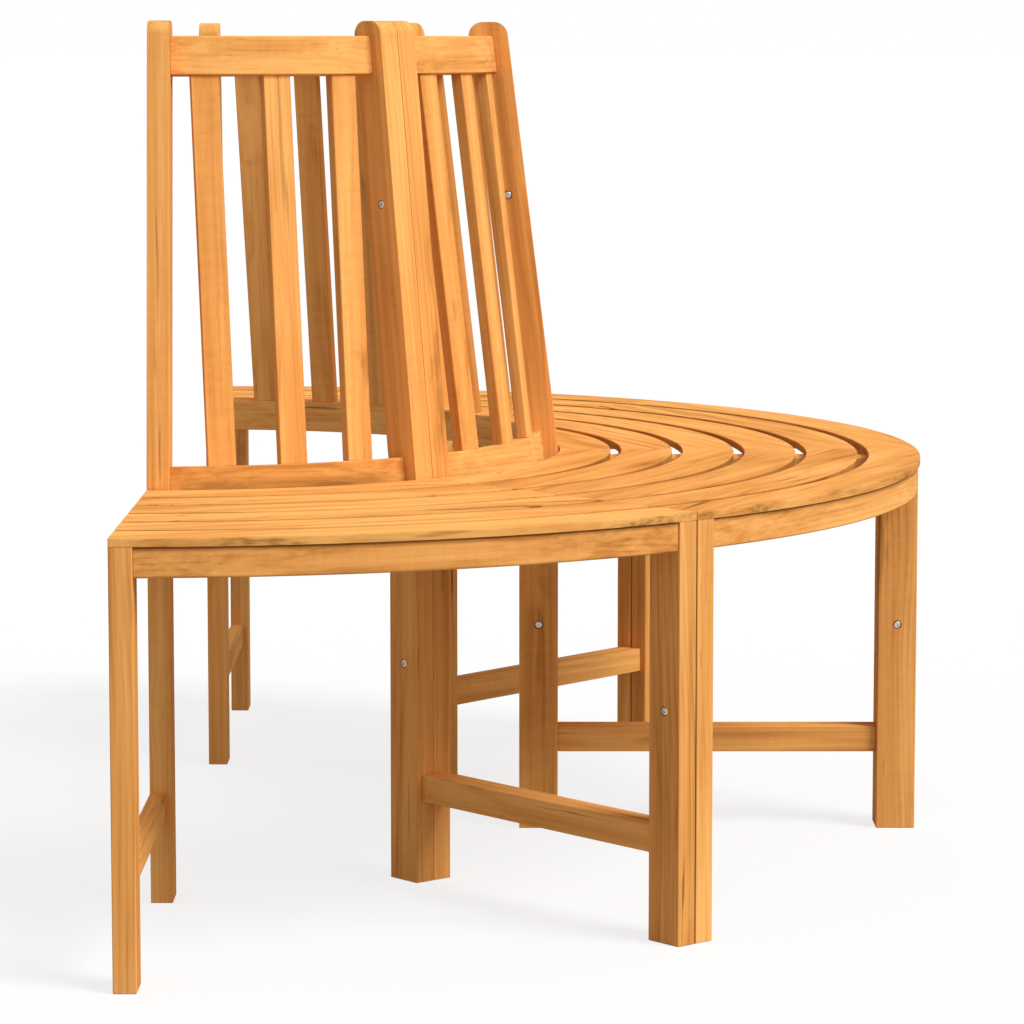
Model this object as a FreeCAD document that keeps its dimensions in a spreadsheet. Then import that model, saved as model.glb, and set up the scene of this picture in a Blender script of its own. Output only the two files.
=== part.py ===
# Half-round tree bench of four bolted segments.
# The origin is the centre of the tree opening on the ground, +Z is up, the seat faces -Y,
# and the straight side of the half ring lies along X.

import FreeCAD, Part
import math
import os
import re
import Sketcher

# Driving dimensions, in millimetres and degrees
SIZES = {
    # the ring in plan
    "bench_radius": 800,
    "post_front_radius": 410.4,
    "end_angle": 90,
    "mitre_angle": 49.2,
    "mitre_offset": 16,
    "joint_gap": 0.5,
    # legs and posts
    "leg_thickness": 22,
    "leg_depth": 42,
    "post_height": 874.5,
    "lean_rise": 3.5,
    "lean_angle": 7,
    "bend_radius": 80,
    "post_top_radius": 15,
    "board_edge": 1.5,
    # seat
    "seat_height": 414.5,
    "slat_thickness": 8,
    "slat_count": 6,
    "slat_gap": 11.7,
    "seat_back_gap": 0.3,
    # rails under the seat
    "apron_height": 28.5,
    "apron_thickness": 18,
    "apron_setback": 2,
    "side_rail_height": 28,
    "side_rail_thickness": 20,
    "batten_width": 40,
    "batten_thickness": 12,
    "batten_setback": 10,
    "batten_end_gap": 0.3,
    # stretchers
    "stretcher_height": 28,
    "stretcher_thickness": 15,
    "stretcher_bottom": 83.5,
    # back rest
    "rail_thickness": 20,
    "rail_setback": 16,
    "top_rail_width": 38.5,
    "top_rail_drop": 35.3,
    "bottom_rail_width": 35,
    "bottom_rail_rise": 3,
    "back_slat_count": 3,
    "back_slat_width": 28.6,
    "back_slat_thickness": 12,
    "back_slat_pitch_end": 71.7,
    "back_slat_pitch_middle": 76,
    "back_slat_housing": 8,
    "back_slat_edge": 1.5,
    # mortise and tenon joints
    "tenon_length": 12,
    "tenon_thickness": 8,
    "tenon_shoulder": 6,
    "tenon_clearance": 0.1,
    # connector bolts and sleeve nuts
    "leg_bolt_height": 224.3,
    "post_bolt_height": 690,
    "bolt_head_diameter": 8.4,
    "bolt_head_height": 2.4,
    "bolt_dome": 0.8,
    "counterbore_diameter": 9.6,
    "counterbore_depth": 2.6,
    "bolt_diameter": 4,
    "sleeve_diameter": 6,
    "sleeve_length": 26,
    "sleeve_floor": 4,
    "bolt_tip_gap": 4,
    "hole_clearance": 0.15,
    "thread_clearance": 0.05,
}

# Sizes that follow from the driving dimensions
DERIVED = {
    "leg_inner_radius": "bench_radius - leg_depth",
    "leg_top": "seat_height - slat_thickness",
    "inset": "joint_gap / 2 + leg_thickness",
    "lean_start": "seat_height + lean_rise",
    "top_rail_level": "post_height - top_rail_drop",
    "bottom_rail_level": "seat_height + bottom_rail_rise",
    "post_foot_radius": "post_front_radius - leg_depth",
    "post_back_radius": "post_front_radius - leg_depth / cos(lean_angle)",
    "post_top_shift": "(post_height - lean_start) * tan(lean_angle)",
    "seat_inner_radius": "sqrt((post_front_radius + seat_back_gap) ^ 2 + (mitre_offset + inset) ^ 2)",
    "slat_width": "(bench_radius - seat_inner_radius - (slat_count - 1) * slat_gap) / slat_count",
    "slat_pitch": "slat_width + slat_gap",
    "span": "leg_inner_radius - post_front_radius",
    "reach": "2 * bench_radius",
    "apron_outer_radius": "bench_radius - apron_setback",
    "apron_inner_radius": "apron_outer_radius - apron_thickness",
    "apron_middle_radius": "apron_outer_radius - apron_thickness / 2",
    "apron_level": "leg_top - apron_height / 2",
    "side_rail_bottom": "leg_top - side_rail_height",
    "panel_radius": "post_front_radius - rail_setback - rail_thickness / 2",
    "panel_bottom": "(bottom_rail_level - lean_start) / cos(lean_angle)",
    "panel_top": "(top_rail_level - lean_start) / cos(lean_angle)",
    "bottom_rail_radius": "panel_radius - panel_bottom * sin(lean_angle)",
    "top_rail_radius": "panel_radius - panel_top * sin(lean_angle)",
    "back_slat_start": "panel_bottom + bottom_rail_width / 2 - back_slat_housing",
    "back_slat_end": "panel_top - top_rail_width / 2 + back_slat_housing",
    "back_slat_length": "back_slat_end - back_slat_start",
    "back_slat_middle": "(back_slat_end + back_slat_start) / 2",
    "back_slat_radius": "panel_radius - back_slat_middle * sin(lean_angle)",
    "back_slat_level": "lean_start + back_slat_middle * cos(lean_angle)",
    "leg_bolt_radius": "bench_radius - leg_depth / 2",
    "post_bolt_radius": "post_front_radius - leg_depth / 2",
    "lean_bolt_radius": "post_bolt_radius - (post_bolt_height - lean_start) * tan(lean_angle)",
    "pair_thickness": "joint_gap + 2 * leg_thickness",
    "bolt_hole_diameter": "sleeve_diameter + 2 * hole_clearance",
    "head_seat": "pair_thickness / 2 - counterbore_depth",
    "sleeve_bore_diameter": "bolt_diameter + 2 * thread_clearance",
    "bolt_length": "2 * head_seat - sleeve_floor - bolt_tip_gap",
}

# Lines in plan where the segments meet: angle from the middle of the seat, sideways offset
JOINTS = {
    "end": ("-end_angle", "0"),
    "mitre": ("-mitre_angle", "mitre_offset"),
    "middle": ("0", "0"),
    "right_mitre": ("mitre_angle", "-mitre_offset"),
}

# Segments of the left half, each from its outer joint to its inner joint
SEGMENTS = {"end": ("end", "mitre"), "middle": ("mitre", "middle")}

# Joints whose leg pairs are bolted together
BOLTED_JOINTS = ("mitre", "middle", "right_mitre")

# Degrees that a turned blank runs past its joints before it is trimmed
OVERRUN = 4

# Distance in millimetres below which two points are one
TOUCH = 1e-4

# Degrees in a full turn
FULL_TURN = 360

doc = FreeCAD.newDocument("TreeBench")
sheet = doc.addObject("Spreadsheet::Sheet", "Sizes")


def fill_sheet():
    """Write the driving and the derived sizes to the sheet, each under its own name."""
    rows = list(SIZES.items()) + [(name, "=" + rule) for name, rule in DERIVED.items()]
    for row, (name, content) in enumerate(rows, start=1):
        sheet.set(f"A{row}", name)
        sheet.set(f"B{row}", str(content))
        sheet.setAlias(f"B{row}", name)
    doc.recompute()


fill_sheet()
NAMES = re.compile(r"\b(" + "|".join([*SIZES, *DERIVED]) + r")\b")


def rule(text):
    """Return an expression with each size's name led by the name of the sheet."""
    return NAMES.sub(r"Sizes.\1", str(text))


def value(text):
    """Return the number that an expression of sizes gives now."""
    result = sheet.evalExpression(rule(text))
    return float(getattr(result, "Value", result))


def bind(thing, **rules):
    """Bind properties to expressions of sizes."""
    for name, text in rules.items():
        thing.setExpression(name, rule(text))
    return thing


def move(x="0", y="0", z="0", turn="rotationz(0)"):
    """Return the expression of a placement."""
    return f"placement(vector({x}; {y}; {z}); {turn})"


def joint_frame(joint):
    """Return the placement of a joint line: +X runs outwards along it, +Y towards the next segment."""
    angle, offset = JOINTS[joint]
    return move(f"({offset}) * cos({angle})", f"({offset}) * sin({angle})", "0", f"rotationz({angle} - 90)")


def face_angle(joint, side, radius):
    """Return the angle in plan at which a post's inner side meets a circle about the tree."""
    angle, offset = JOINTS[joint]
    return f"({angle} + asin(({offset} + {side} * inset) / {radius}) / (1 deg))"


def middle_angle(segment, radius):
    """Return the angle in plan of the middle between a segment's two side frames."""
    outer, inner = SEGMENTS[segment]
    return f"(({face_angle(outer, 1, radius)} + {face_angle(inner, -1, radius)}) / 2)"


def block(name, frame, start, size, side=1):
    """Make a box in a frame. A side of -1 puts it on the other side of the frame's XZ plane."""
    box = doc.addObject("Part::Box", name)
    bind(box, Length=size[0], Width=size[1], Height=size[2])
    sideways = start[1] if side > 0 else f"-({start[1]}) - ({size[1]})"
    bind(box, Placement=f"{frame} * {move(start[0], sideways, start[2])}")
    return box


def peg(name, frame, start, diameter, length):
    """Make a cylinder along a frame's +Y."""
    rod = doc.addObject("Part::Cylinder", name)
    bind(rod, Radius=f"({diameter}) / 2", Height=length)
    bind(rod, Placement=f"{frame} * {move(*start, 'rotationx(-90)')}")
    return rod


def joined(kind, name, shapes):
    """Make a boolean of many shapes."""
    result = doc.addObject(kind, name)
    result.Shapes = shapes
    return result


def cut(name, base, tools):
    """Cut tools out of a base."""
    if len(tools) > 1:
        tools = [joined("Part::MultiFuse", name + "_tools", tools)]
    result = doc.addObject("Part::Cut", name)
    result.Base = base
    result.Tool = tools[0]
    return result


def outline(sketch, corners):
    """Draw a closed outline whose corners stay at expressions of sizes."""
    places = [FreeCAD.Vector(value(x), value(y), 0) for x, y in corners]
    first = sketch.GeometryCount
    for number, place in enumerate(places):
        sketch.addGeometry(Part.LineSegment(place, places[(number + 1) % len(places)]), False)
    for number, corner in enumerate(corners):
        line = first + number
        following = first + (number + 1) % len(corners)
        sketch.addConstraint(Sketcher.Constraint("Coincident", line, 2, following, 1))
        for kind, text in zip(("DistanceX", "DistanceY"), corner):
            index = sketch.addConstraint(Sketcher.Constraint(kind, -1, 1, line, 1, value(text)))
            sketch.setExpression(f"Constraints[{index}]", rule(text))


def origin_plane(body, role):
    """Return one of the body's own origin planes."""
    return [plane for plane in body.Origin.OriginFeatures if plane.Role == role][0]


def body_sketch(body, role, name):
    """Start a sketch on one of the body's own origin planes."""
    sketch = body.newObject("Sketcher::SketchObject", name)
    sketch.AttachmentSupport = [(origin_plane(body, role), "")]
    sketch.MapMode = "FlatFace"
    return sketch


def side_board(name, frame, corners, thickness, side, start="0"):
    """Make a board with an outline in a frame's XZ plane, as thick as given towards one side."""
    body = doc.addObject("PartDesign::Body", name)
    bind(body, Placement=f"{frame} * {move('0', f'{side} * ({start})')}")
    sketch = body_sketch(body, "XZ_Plane", name + "_outline")
    outline(sketch, corners)
    pad = body.newObject("PartDesign::Pad", name + "_board")
    pad.Profile = sketch
    pad.Reversed = side > 0
    bind(pad, Length=thickness)
    return body, pad


def picked(base, chosen):
    """Return the names of a feature's edges that a test picks."""
    doc.recompute()
    return [f"Edge{number}" for number, edge in enumerate(base.Shape.Edges, start=1) if chosen(edge)]


def rounded(body, base, name, radius, chosen):
    """Round the edges of a body's last feature that a test picks."""
    edges = picked(base, chosen)
    rounding = body.newObject("PartDesign::Fillet", name)
    rounding.Base = (base, edges)
    bind(rounding, Radius=radius)
    return rounding


def eased(body, base, name, chosen):
    """Take the sharpness off the edges of a body's last feature that a test picks."""
    edges = picked(base, chosen)
    easing = body.newObject("PartDesign::Chamfer", name)
    easing.Base = (base, edges)
    bind(easing, Size="board_edge")
    return easing


def across(edge):
    """Tell an edge that runs straight across a board's thickness."""
    first, last = edge.Vertexes[0].Point, edge.Vertexes[-1].Point
    flat = math.hypot(first.x - last.x, first.z - last.z)
    return len(edge.Vertexes) == 2 and flat < TOUCH


def edge_level(edge):
    """Return the height of an edge's middle."""
    return edge.CenterOfMass.z


def long_edges(edge):
    """Tell an edge along a board's outline, clear of the floor."""
    return not across(edge) and edge.BoundBox.ZMax > TOUCH


def front_leg(name, joint, side):
    """Make a straight leg of the outer ring, before its joints are cut."""
    corners = [
        ("leg_inner_radius", "0"),
        ("bench_radius", "0"),
        ("bench_radius", "leg_top"),
        ("leg_inner_radius", "leg_top"),
    ]
    frame = joint_frame(joint)
    body, pad = side_board(name + "_blank", frame, corners, "leg_thickness", side, "joint_gap / 2")
    top = value("leg_top")
    eased(body, pad, name + "_edges", lambda edge: long_edges(edge) and edge_level(edge) < top - TOUCH)
    return body


def back_post(name, joint, side):
    """Make a post that leans from the seat up and is rounded at the top."""
    corners = [
        ("post_foot_radius", "0"),
        ("post_front_radius", "0"),
        ("post_front_radius", "lean_start"),
        ("post_front_radius - post_top_shift", "post_height"),
        ("post_back_radius - post_top_shift", "post_height"),
        ("post_foot_radius", "lean_start - (post_foot_radius - post_back_radius) / tan(lean_angle)"),
    ]
    frame = joint_frame(joint)
    body, pad = side_board(name + "_blank", frame, corners, "leg_thickness", side, "joint_gap / 2")
    half = value("lean_start") / 2
    high = value("(lean_start + post_height) / 2")
    bends = rounded(
        body, pad, name + "_bends", "bend_radius",
        lambda edge: across(edge) and half < edge_level(edge) < high,
    )
    crown = rounded(
        body, bends, name + "_crown", "post_top_radius",
        lambda edge: across(edge) and edge_level(edge) > high,
    )
    eased(body, crown, name + "_edges", long_edges)
    return body


def tenon_size(length, height):
    """Return the size of a tenon that runs along X."""
    return (length, "tenon_thickness", f"{height} - 2 * tenon_shoulder")


def grown(start, size):
    """Return a mortise's start and size from its tenon's, with clearance all round."""
    mortise_start = [f"{text} - tenon_clearance" for text in start]
    mortise_size = [f"{text} + 2 * tenon_clearance" for text in size]
    return mortise_start, mortise_size


# Boards that run along a joint line between a leg and a post: bottom, height and thickness
RADIAL_BOARDS = {
    "stretcher": ("stretcher_bottom", "stretcher_height", "stretcher_thickness"),
    "side_rail": ("side_rail_bottom", "side_rail_height", "side_rail_thickness"),
}


def radial_tenon(kind):
    """Return the start and size of the long tenon core of a radial board."""
    bottom, height, thickness = RADIAL_BOARDS[kind]
    start = (
        "post_front_radius - tenon_length",
        f"joint_gap / 2 + {thickness} / 2 - tenon_thickness / 2",
        f"{bottom} + tenon_shoulder",
    )
    return start, tenon_size("span + 2 * tenon_length", height)


def radial_board(name, kind, joint, side):
    """Make a stretcher or side rail with a tenon at each end."""
    bottom, height, thickness = RADIAL_BOARDS[kind]
    corners = [
        ("post_front_radius", bottom),
        ("leg_inner_radius", bottom),
        ("leg_inner_radius", f"{bottom} + {height}"),
        ("post_front_radius", f"{bottom} + {height}"),
    ]
    frame = joint_frame(joint)
    body, pad = side_board(name + "_board", frame, corners, thickness, side, "joint_gap / 2")
    eased(body, pad, name + "_edges", lambda edge: edge.BoundBox.XLength > TOUCH)
    start, size = radial_tenon(kind)
    core = block(name + "_tenons", frame, start, size, side)
    return joined("Part::MultiFuse", name, [body, core])


def radial_mortise(name, kind, joint, side):
    """Make the cutter of a radial board's mortises, right through the span between leg and post."""
    return block(name + "_" + kind + "_mortise", joint_frame(joint), *grown(*radial_tenon(kind)), side)


def cross_tenon(radius, level, width, thickness, lean):
    """Return a frame on the joint line, and the start and size of a tenon of a curved rail there."""
    frame = move(radius, "0", level, f"rotationy(-({lean}))")
    start = (
        "-tenon_thickness / 2",
        "inset - tenon_length",
        f"-({width}) / 2 + tenon_shoulder",
    )
    size = ("tenon_thickness", f"tenon_length + {thickness} / 2", f"{width} - 2 * tenon_shoulder")
    return frame, start, size


# Curved rails between two side frames: middle radius, middle height, width, thickness, lean
CURVED_RAILS = {
    "front_apron": ("apron_middle_radius", "apron_level", "apron_height", "apron_thickness", "0"),
    "bottom_rail": (
        "bottom_rail_radius", "bottom_rail_level", "bottom_rail_width", "rail_thickness", "lean_angle",
    ),
    "top_rail": ("top_rail_radius", "top_rail_level", "top_rail_width", "rail_thickness", "lean_angle"),
}


def rail_tenon(kind, joint, side, name, growing=False):
    """Make a curved rail's tenon at a joint, or the cutter of its mortise."""
    frame, start, size = cross_tenon(*CURVED_RAILS[kind])
    if growing:
        start, size = grown(start, size)
    return block(name, f"{joint_frame(joint)} * {frame}", start, size, side)


def leaning_section(radius, level, width, thickness, lean):
    """Return the corners of a rail's section, turned by its lean."""
    corners = []
    for out_sign, up_sign in ((1, -1), (1, 1), (-1, 1), (-1, -1)):
        out = f"({out_sign} * {thickness} / 2)"
        up = f"({up_sign} * {width} / 2)"
        corners.append((
            f"{radius} + {out} * cos({lean}) - {up} * sin({lean})",
            f"{level} + {out} * sin({lean}) + {up} * cos({lean})",
        ))
    return corners


def turned_section(name, sections, segment):
    """Turn closed sections about the tree's axis, further than the segment reaches."""
    start = JOINTS[SEGMENTS[segment][0]][0]
    end = JOINTS[SEGMENTS[segment][1]][0]
    sketch = doc.addObject("Sketcher::SketchObject", name + "_section")
    for corners in sections:
        outline(sketch, corners)
    bind(sketch, Placement=move(turn=f"rotationz({start} - 90 - {OVERRUN}) * rotationx(90)"))
    turn = doc.addObject("Part::Revolution", name + "_turn")
    turn.Source = sketch
    turn.Solid = True
    turn.Axis = FreeCAD.Vector(0, 0, 1)
    bind(turn, Angle=f"{end} - ({start}) + 2 * {OVERRUN}")
    return turn


def between_joints(name, blank, segment, inset):
    """Trim a turned blank to an even distance from the segment's two joint lines."""
    outer, inner = SEGMENTS[segment]
    start = ("0", inset, "0")
    size = ("reach", "reach", "post_height")
    spaces = [
        block(name + "_outer_space", joint_frame(outer), start, size, 1),
        block(name + "_inner_space", joint_frame(inner), start, size, -1),
    ]
    return joined("Part::MultiCommon", name, [blank, *spaces])


def curved_rail(name, kind, segment, mortises):
    """Make an apron or back rail with a tenon at each end."""
    outer, inner = SEGMENTS[segment]
    blank = turned_section(name, [leaning_section(*CURVED_RAILS[kind])], segment)
    body = between_joints(name + "_body", blank, segment, "inset")
    tenons = [
        rail_tenon(kind, outer, 1, name + "_outer_tenon"),
        rail_tenon(kind, inner, -1, name + "_inner_tenon"),
    ]
    if not mortises:
        return joined("Part::MultiFuse", name, [body, *tenons])
    return cut(name, joined("Part::MultiFuse", name + "_blank", [body, *tenons]), mortises)


def seat_slats(name, segment):
    """Make the segment's seat slats as concentric arcs."""
    sections = []
    for number in range(int(value("slat_count"))):
        inside = f"seat_inner_radius + {number} * slat_pitch"
        outside = f"{inside} + slat_width"
        sections.append([
            (inside, "leg_top"),
            (outside, "leg_top"),
            (outside, "seat_height"),
            (inside, "seat_height"),
        ])
    blank = turned_section(name, sections, segment)
    return between_joints(name, blank, segment, "joint_gap / 2")


def back_slat_frame(segment, number):
    """Return the placement of a back slat's centre: +X faces the sitter, +Z runs up the slat."""
    places = int(value("back_slat_count")) - 1
    aside = f"(({number} - {places} / 2) * back_slat_pitch_{segment})"
    angle = middle_angle(segment, "back_slat_radius")
    out = f"sqrt(back_slat_radius ^ 2 - {aside} ^ 2)"
    lean = move(out, aside, "back_slat_level", "rotationy(-lean_angle)")
    twist = move(turn=f"rotationz(asin({aside} / back_slat_radius))")
    return f"{move(turn=f'rotationz({angle} - 90)')} * {lean} * {twist}"


def back_slat(name, segment, number):
    """Make one upright slat with eased edges, and the cutter of its mortises."""
    half_width = "back_slat_width / 2"
    half_depth = "back_slat_thickness / 2"
    corners = [
        (f"{half_depth} - back_slat_edge", f"-{half_width}"),
        (half_depth, f"-{half_width} + back_slat_edge"),
        (half_depth, f"{half_width} - back_slat_edge"),
        (f"{half_depth} - back_slat_edge", half_width),
        (f"-{half_depth} + back_slat_edge", half_width),
        (f"-{half_depth}", f"{half_width} - back_slat_edge"),
        (f"-{half_depth}", f"-{half_width} + back_slat_edge"),
        (f"-{half_depth} + back_slat_edge", f"-{half_width}"),
    ]
    frame = back_slat_frame(segment, number)
    body = doc.addObject("PartDesign::Body", name)
    bind(body, Placement=f"{frame} * {move(z='-back_slat_length / 2')}")
    sketch = body_sketch(body, "XY_Plane", name + "_outline")
    outline(sketch, corners)
    pad = body.newObject("PartDesign::Pad", name + "_board")
    pad.Profile = sketch
    bind(pad, Length="back_slat_length")
    start = [f"-{half_depth}", f"-{half_width}", "-back_slat_length / 2"]
    size = ["back_slat_thickness", "back_slat_width", "back_slat_length"]
    return body, block(name + "_mortise", frame, *grown(start, size))


def seat_batten(name, segment):
    """Make the flat batten under the middle of a segment's slats."""
    frame = move(turn=f"rotationz({middle_angle(segment, 'bench_radius')} - 90)")
    start = ("seat_inner_radius + batten_setback", "-batten_width / 2", "leg_top - batten_thickness")
    length = "apron_inner_radius - batten_end_gap - seat_inner_radius - batten_setback"
    return block(name, frame, start, (length, "batten_width", "batten_thickness"))


# Bolts through a pair: distance out along the joint line, and height
BOLT_PLACES = {
    "leg": ("leg_bolt_radius", "leg_bolt_height"),
    "post_foot": ("post_bolt_radius", "leg_bolt_height"),
    "post_back": ("lean_bolt_radius", "post_bolt_height"),
}


def drill(name, joint, place):
    """Make the cutter of a bolt hole with a counterbore at each end."""
    radius, level = BOLT_PLACES[place]
    frame = joint_frame(joint)
    near = (radius, "-pair_thickness / 2", level)
    far = (radius, "head_seat", level)
    return joined("Part::MultiFuse", name, [
        peg(name + "_hole", frame, near, "bolt_hole_diameter", "pair_thickness"),
        peg(name + "_head_bore", frame, near, "counterbore_diameter", "counterbore_depth"),
        peg(name + "_nut_bore", frame, far, "counterbore_diameter", "counterbore_depth"),
    ])


def turned_fastener(name, profile):
    """Make a fastener turned about +Z, whose head starts at z = 0."""
    body = doc.addObject("PartDesign::Body", name)
    sketch = body_sketch(body, "XZ_Plane", name + "_profile")
    outline(sketch, profile)
    turning = body.newObject("PartDesign::Revolution", name + "_turning")
    turning.Profile = sketch
    turning.ReferenceAxis = (sketch, ["V_Axis"])
    turning.Angle = FULL_TURN
    return body


def head_profile():
    """Return the outside corners of a low domed head, from its seat to its top."""
    rim = "bolt_head_diameter / 2"
    return [
        (rim, "0"),
        (rim, "bolt_head_height - bolt_dome"),
        (f"{rim} - bolt_dome", "bolt_head_height"),
        ("0", "bolt_head_height"),
    ]


def connector_bolt():
    """Make one connector bolt."""
    shank = "bolt_diameter / 2"
    return turned_fastener("connector_bolt", [
        ("0", "-bolt_length"), (shank, "-bolt_length"), (shank, "0"), *head_profile(),
    ])


def sleeve_nut():
    """Make one sleeve nut with a blind bore."""
    barrel = "sleeve_diameter / 2"
    bore = "sleeve_bore_diameter / 2"
    return turned_fastener("sleeve_nut", [
        ("0", "-sleeve_floor"), (bore, "-sleeve_floor"), (bore, "-sleeve_length"), (barrel, "-sleeve_length"),
        (barrel, "0"), *head_profile(),
    ])


def fastener_group(name, pattern, side):
    """Place a fastener at every bolt place of the bolted joints, its head towards one side."""
    links = []
    for joint in BOLTED_JOINTS:
        for place, (radius, level) in BOLT_PLACES.items():
            link = doc.addObject("App::Link", f"{name}_{joint}_{place}")
            link.LinkedObject = pattern
            turn = f"rotationx({-90 * side})"
            seat = move(radius, f"{side} * head_seat", level, turn)
            bind(link, Placement=f"{joint_frame(joint)} * {seat}")
            links.append(link)
    group = doc.addObject("Part::Compound", name)
    group.Links = links
    return group


def mirrored(name, source):
    """Make the right-hand twin of a piece of the left half."""
    twin = doc.addObject("Part::Mirroring", name)
    twin.Source = source
    twin.Normal = FreeCAD.Vector(1, 0, 0)
    return twin


def side_frame(segment, end, drills):
    """Make the leg, post, stretcher and side rail at one end of a segment."""
    joint = SEGMENTS[segment][("outer", "inner").index(end)]
    side = 1 if end == "outer" else -1
    prefix = f"left_{segment}_"
    boards = {}
    mortises = []
    for kind in RADIAL_BOARDS:
        boards[kind] = radial_board(f"{prefix}{kind}_{end}", kind, joint, side)
        mortises.append(radial_mortise(f"{prefix}{end}", kind, joint, side))
    leg_name = f"{prefix}front_leg_{end}"
    post_name = f"{prefix}back_post_{end}"
    leg_cuts = [*mortises, rail_tenon("front_apron", joint, side, leg_name + "_apron_mortise", True)]
    post_cuts = [*mortises]
    for kind in ("bottom_rail", "top_rail"):
        post_cuts.append(rail_tenon(kind, joint, side, f"{post_name}_{kind}_mortise", True))
    if joint in drills:
        leg_cuts.append(drills[joint]["leg"])
        post_cuts += [drills[joint]["post_foot"], drills[joint]["post_back"]]
    leg = cut(leg_name, front_leg(leg_name, joint, side), leg_cuts)
    post = cut(post_name, back_post(post_name, joint, side), post_cuts)
    return [leg, post, *boards.values()]


def segment_pieces(segment, drills):
    """Make every piece of one segment of the left half."""
    prefix = f"left_{segment}_"
    pieces = side_frame(segment, "outer", drills) + side_frame(segment, "inner", drills)
    slats, mortises = zip(*[
        back_slat(f"{prefix}back_slat_{number + 1}", segment, number)
        for number in range(int(value("back_slat_count")))
    ])
    back_slats = doc.addObject("Part::Compound", prefix + "back_slats")
    back_slats.Links = list(slats)
    pieces += [
        curved_rail(prefix + "front_apron", "front_apron", segment, []),
        curved_rail(prefix + "bottom_rail", "bottom_rail", segment, list(mortises)),
        curved_rail(prefix + "top_rail", "top_rail", segment, list(mortises)),
        back_slats,
        seat_slats(prefix + "seat_slats", segment),
        seat_batten(prefix + "seat_batten", segment),
    ]
    return pieces


def build_bench():
    """Make the whole bench and return its pieces."""
    drills = {
        joint: {place: drill(f"drill_{joint}_{place}", joint, place) for place in BOLT_PLACES}
        for joint in ("mitre", "middle")
    }
    pieces = []
    for segment in SEGMENTS:
        pieces += segment_pieces(segment, drills)
    pieces += [mirrored(piece.Name.replace("left_", "right_"), piece) for piece in pieces]
    pieces.append(fastener_group("connector_bolts", connector_bolt(), -1))
    pieces.append(fastener_group("sleeve_nuts", sleeve_nut(), 1))
    return pieces


def check(pieces):
    """Stop if any object failed, or if a piece isn't made of valid solids."""
    doc.recompute()
    for thing in doc.Objects:
        if "Invalid" in thing.State or "Error" in thing.State:
            raise RuntimeError(f"{thing.Name} failed: {thing.State}")
    for piece in pieces:
        shape = piece.Shape
        if shape.isNull() or not shape.isValid() or not shape.Solids:
            raise RuntimeError(f"{piece.Name} has no valid solid")


def write_pieces(pieces):
    """Write each piece to its own file, named after the piece."""
    os.makedirs("parts", exist_ok=True)
    for piece in pieces:
        piece.Label = piece.Name
        piece.Shape.exportStep(f"parts/{piece.Label}.step")


bench = build_bench()
check(bench)
write_pieces(bench)
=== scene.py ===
"""Half-round tree bench of four bolted segments, dressed in oiled hardwood over its construction."""

import logging
import math
import random
from dataclasses import dataclass
from enum import Enum, IntEnum
from functools import partial, reduce
from typing import Callable, Sequence

import bmesh
import bpy
from mathutils import Matrix, Vector


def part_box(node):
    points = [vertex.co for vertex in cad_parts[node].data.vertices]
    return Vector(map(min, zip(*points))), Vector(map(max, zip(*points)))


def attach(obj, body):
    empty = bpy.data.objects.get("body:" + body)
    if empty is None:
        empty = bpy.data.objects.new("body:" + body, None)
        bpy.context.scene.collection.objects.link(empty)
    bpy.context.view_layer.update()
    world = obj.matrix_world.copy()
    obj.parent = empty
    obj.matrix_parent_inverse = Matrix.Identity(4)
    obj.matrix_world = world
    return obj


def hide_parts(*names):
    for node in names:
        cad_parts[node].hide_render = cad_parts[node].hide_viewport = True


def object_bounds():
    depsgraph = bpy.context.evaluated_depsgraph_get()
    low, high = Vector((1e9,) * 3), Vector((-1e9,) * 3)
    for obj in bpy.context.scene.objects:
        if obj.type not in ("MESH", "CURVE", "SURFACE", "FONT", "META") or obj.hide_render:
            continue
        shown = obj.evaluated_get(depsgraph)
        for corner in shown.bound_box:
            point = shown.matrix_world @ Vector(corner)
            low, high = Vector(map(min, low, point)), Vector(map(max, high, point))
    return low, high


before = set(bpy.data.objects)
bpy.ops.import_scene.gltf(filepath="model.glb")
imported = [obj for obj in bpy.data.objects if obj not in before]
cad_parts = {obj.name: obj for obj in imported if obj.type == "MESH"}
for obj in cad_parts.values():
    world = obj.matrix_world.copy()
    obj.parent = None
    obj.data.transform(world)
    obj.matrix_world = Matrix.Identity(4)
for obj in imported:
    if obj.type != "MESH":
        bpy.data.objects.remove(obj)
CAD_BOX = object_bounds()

Mesh = bpy.types.Mesh
Socket = bpy.types.NodeSocket
Material = bpy.types.Material
Colour = tuple[float, float, float, float]
Point = tuple[float, float]
Fade = tuple[float, float, float, float]

LOG = logging.getLogger("tree_bench")
BODY = "root"

# Names of the mesh attributes that carry each board's own wood, and the painted shade beside its neighbours
GRAIN = "grain"
CUT = "cut"
HALF = "half"
TONE = "tone"
PAINTED_SHADE = "soil"
PAINTED_SHADE_DISTANCE = "soil_distance"
RIM_STAIN = "rim_stain"
BOARD_NUMBER = "board_number"
TURN = "turn"

# How far from the bench's straight side a corner may lie that is read as part of it, in metres
STRAIGHT_SIDE = 0.001

# Smallest angle between two faces whose shared edge is shaded sharp
SHARP_ANGLE = math.radians(50)

WHITE = (1.0, 1.0, 1.0, 1.0)


def linear(red: int, green: int, blue: int) -> Colour:
    """Turn a display colour into the scene's linear colour.

    Args:
        red: Red from 0 to 255.
        green: Green from 0 to 255.
        blue: Blue from 0 to 255.

    Returns:
        The linear colour with full alpha.
    """
    def channel(level: int) -> float:
        """Return one channel as linear light."""
        share = level / 255
        return share / 12.92 if share <= 0.04045 else ((share + 0.055) / 1.055) ** 2.4

    return (channel(red), channel(green), channel(blue), 1.0)


def grey(level: float) -> Colour:
    """Return a grey of a linear level with full alpha."""
    return (level, level, level, 1.0)


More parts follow.
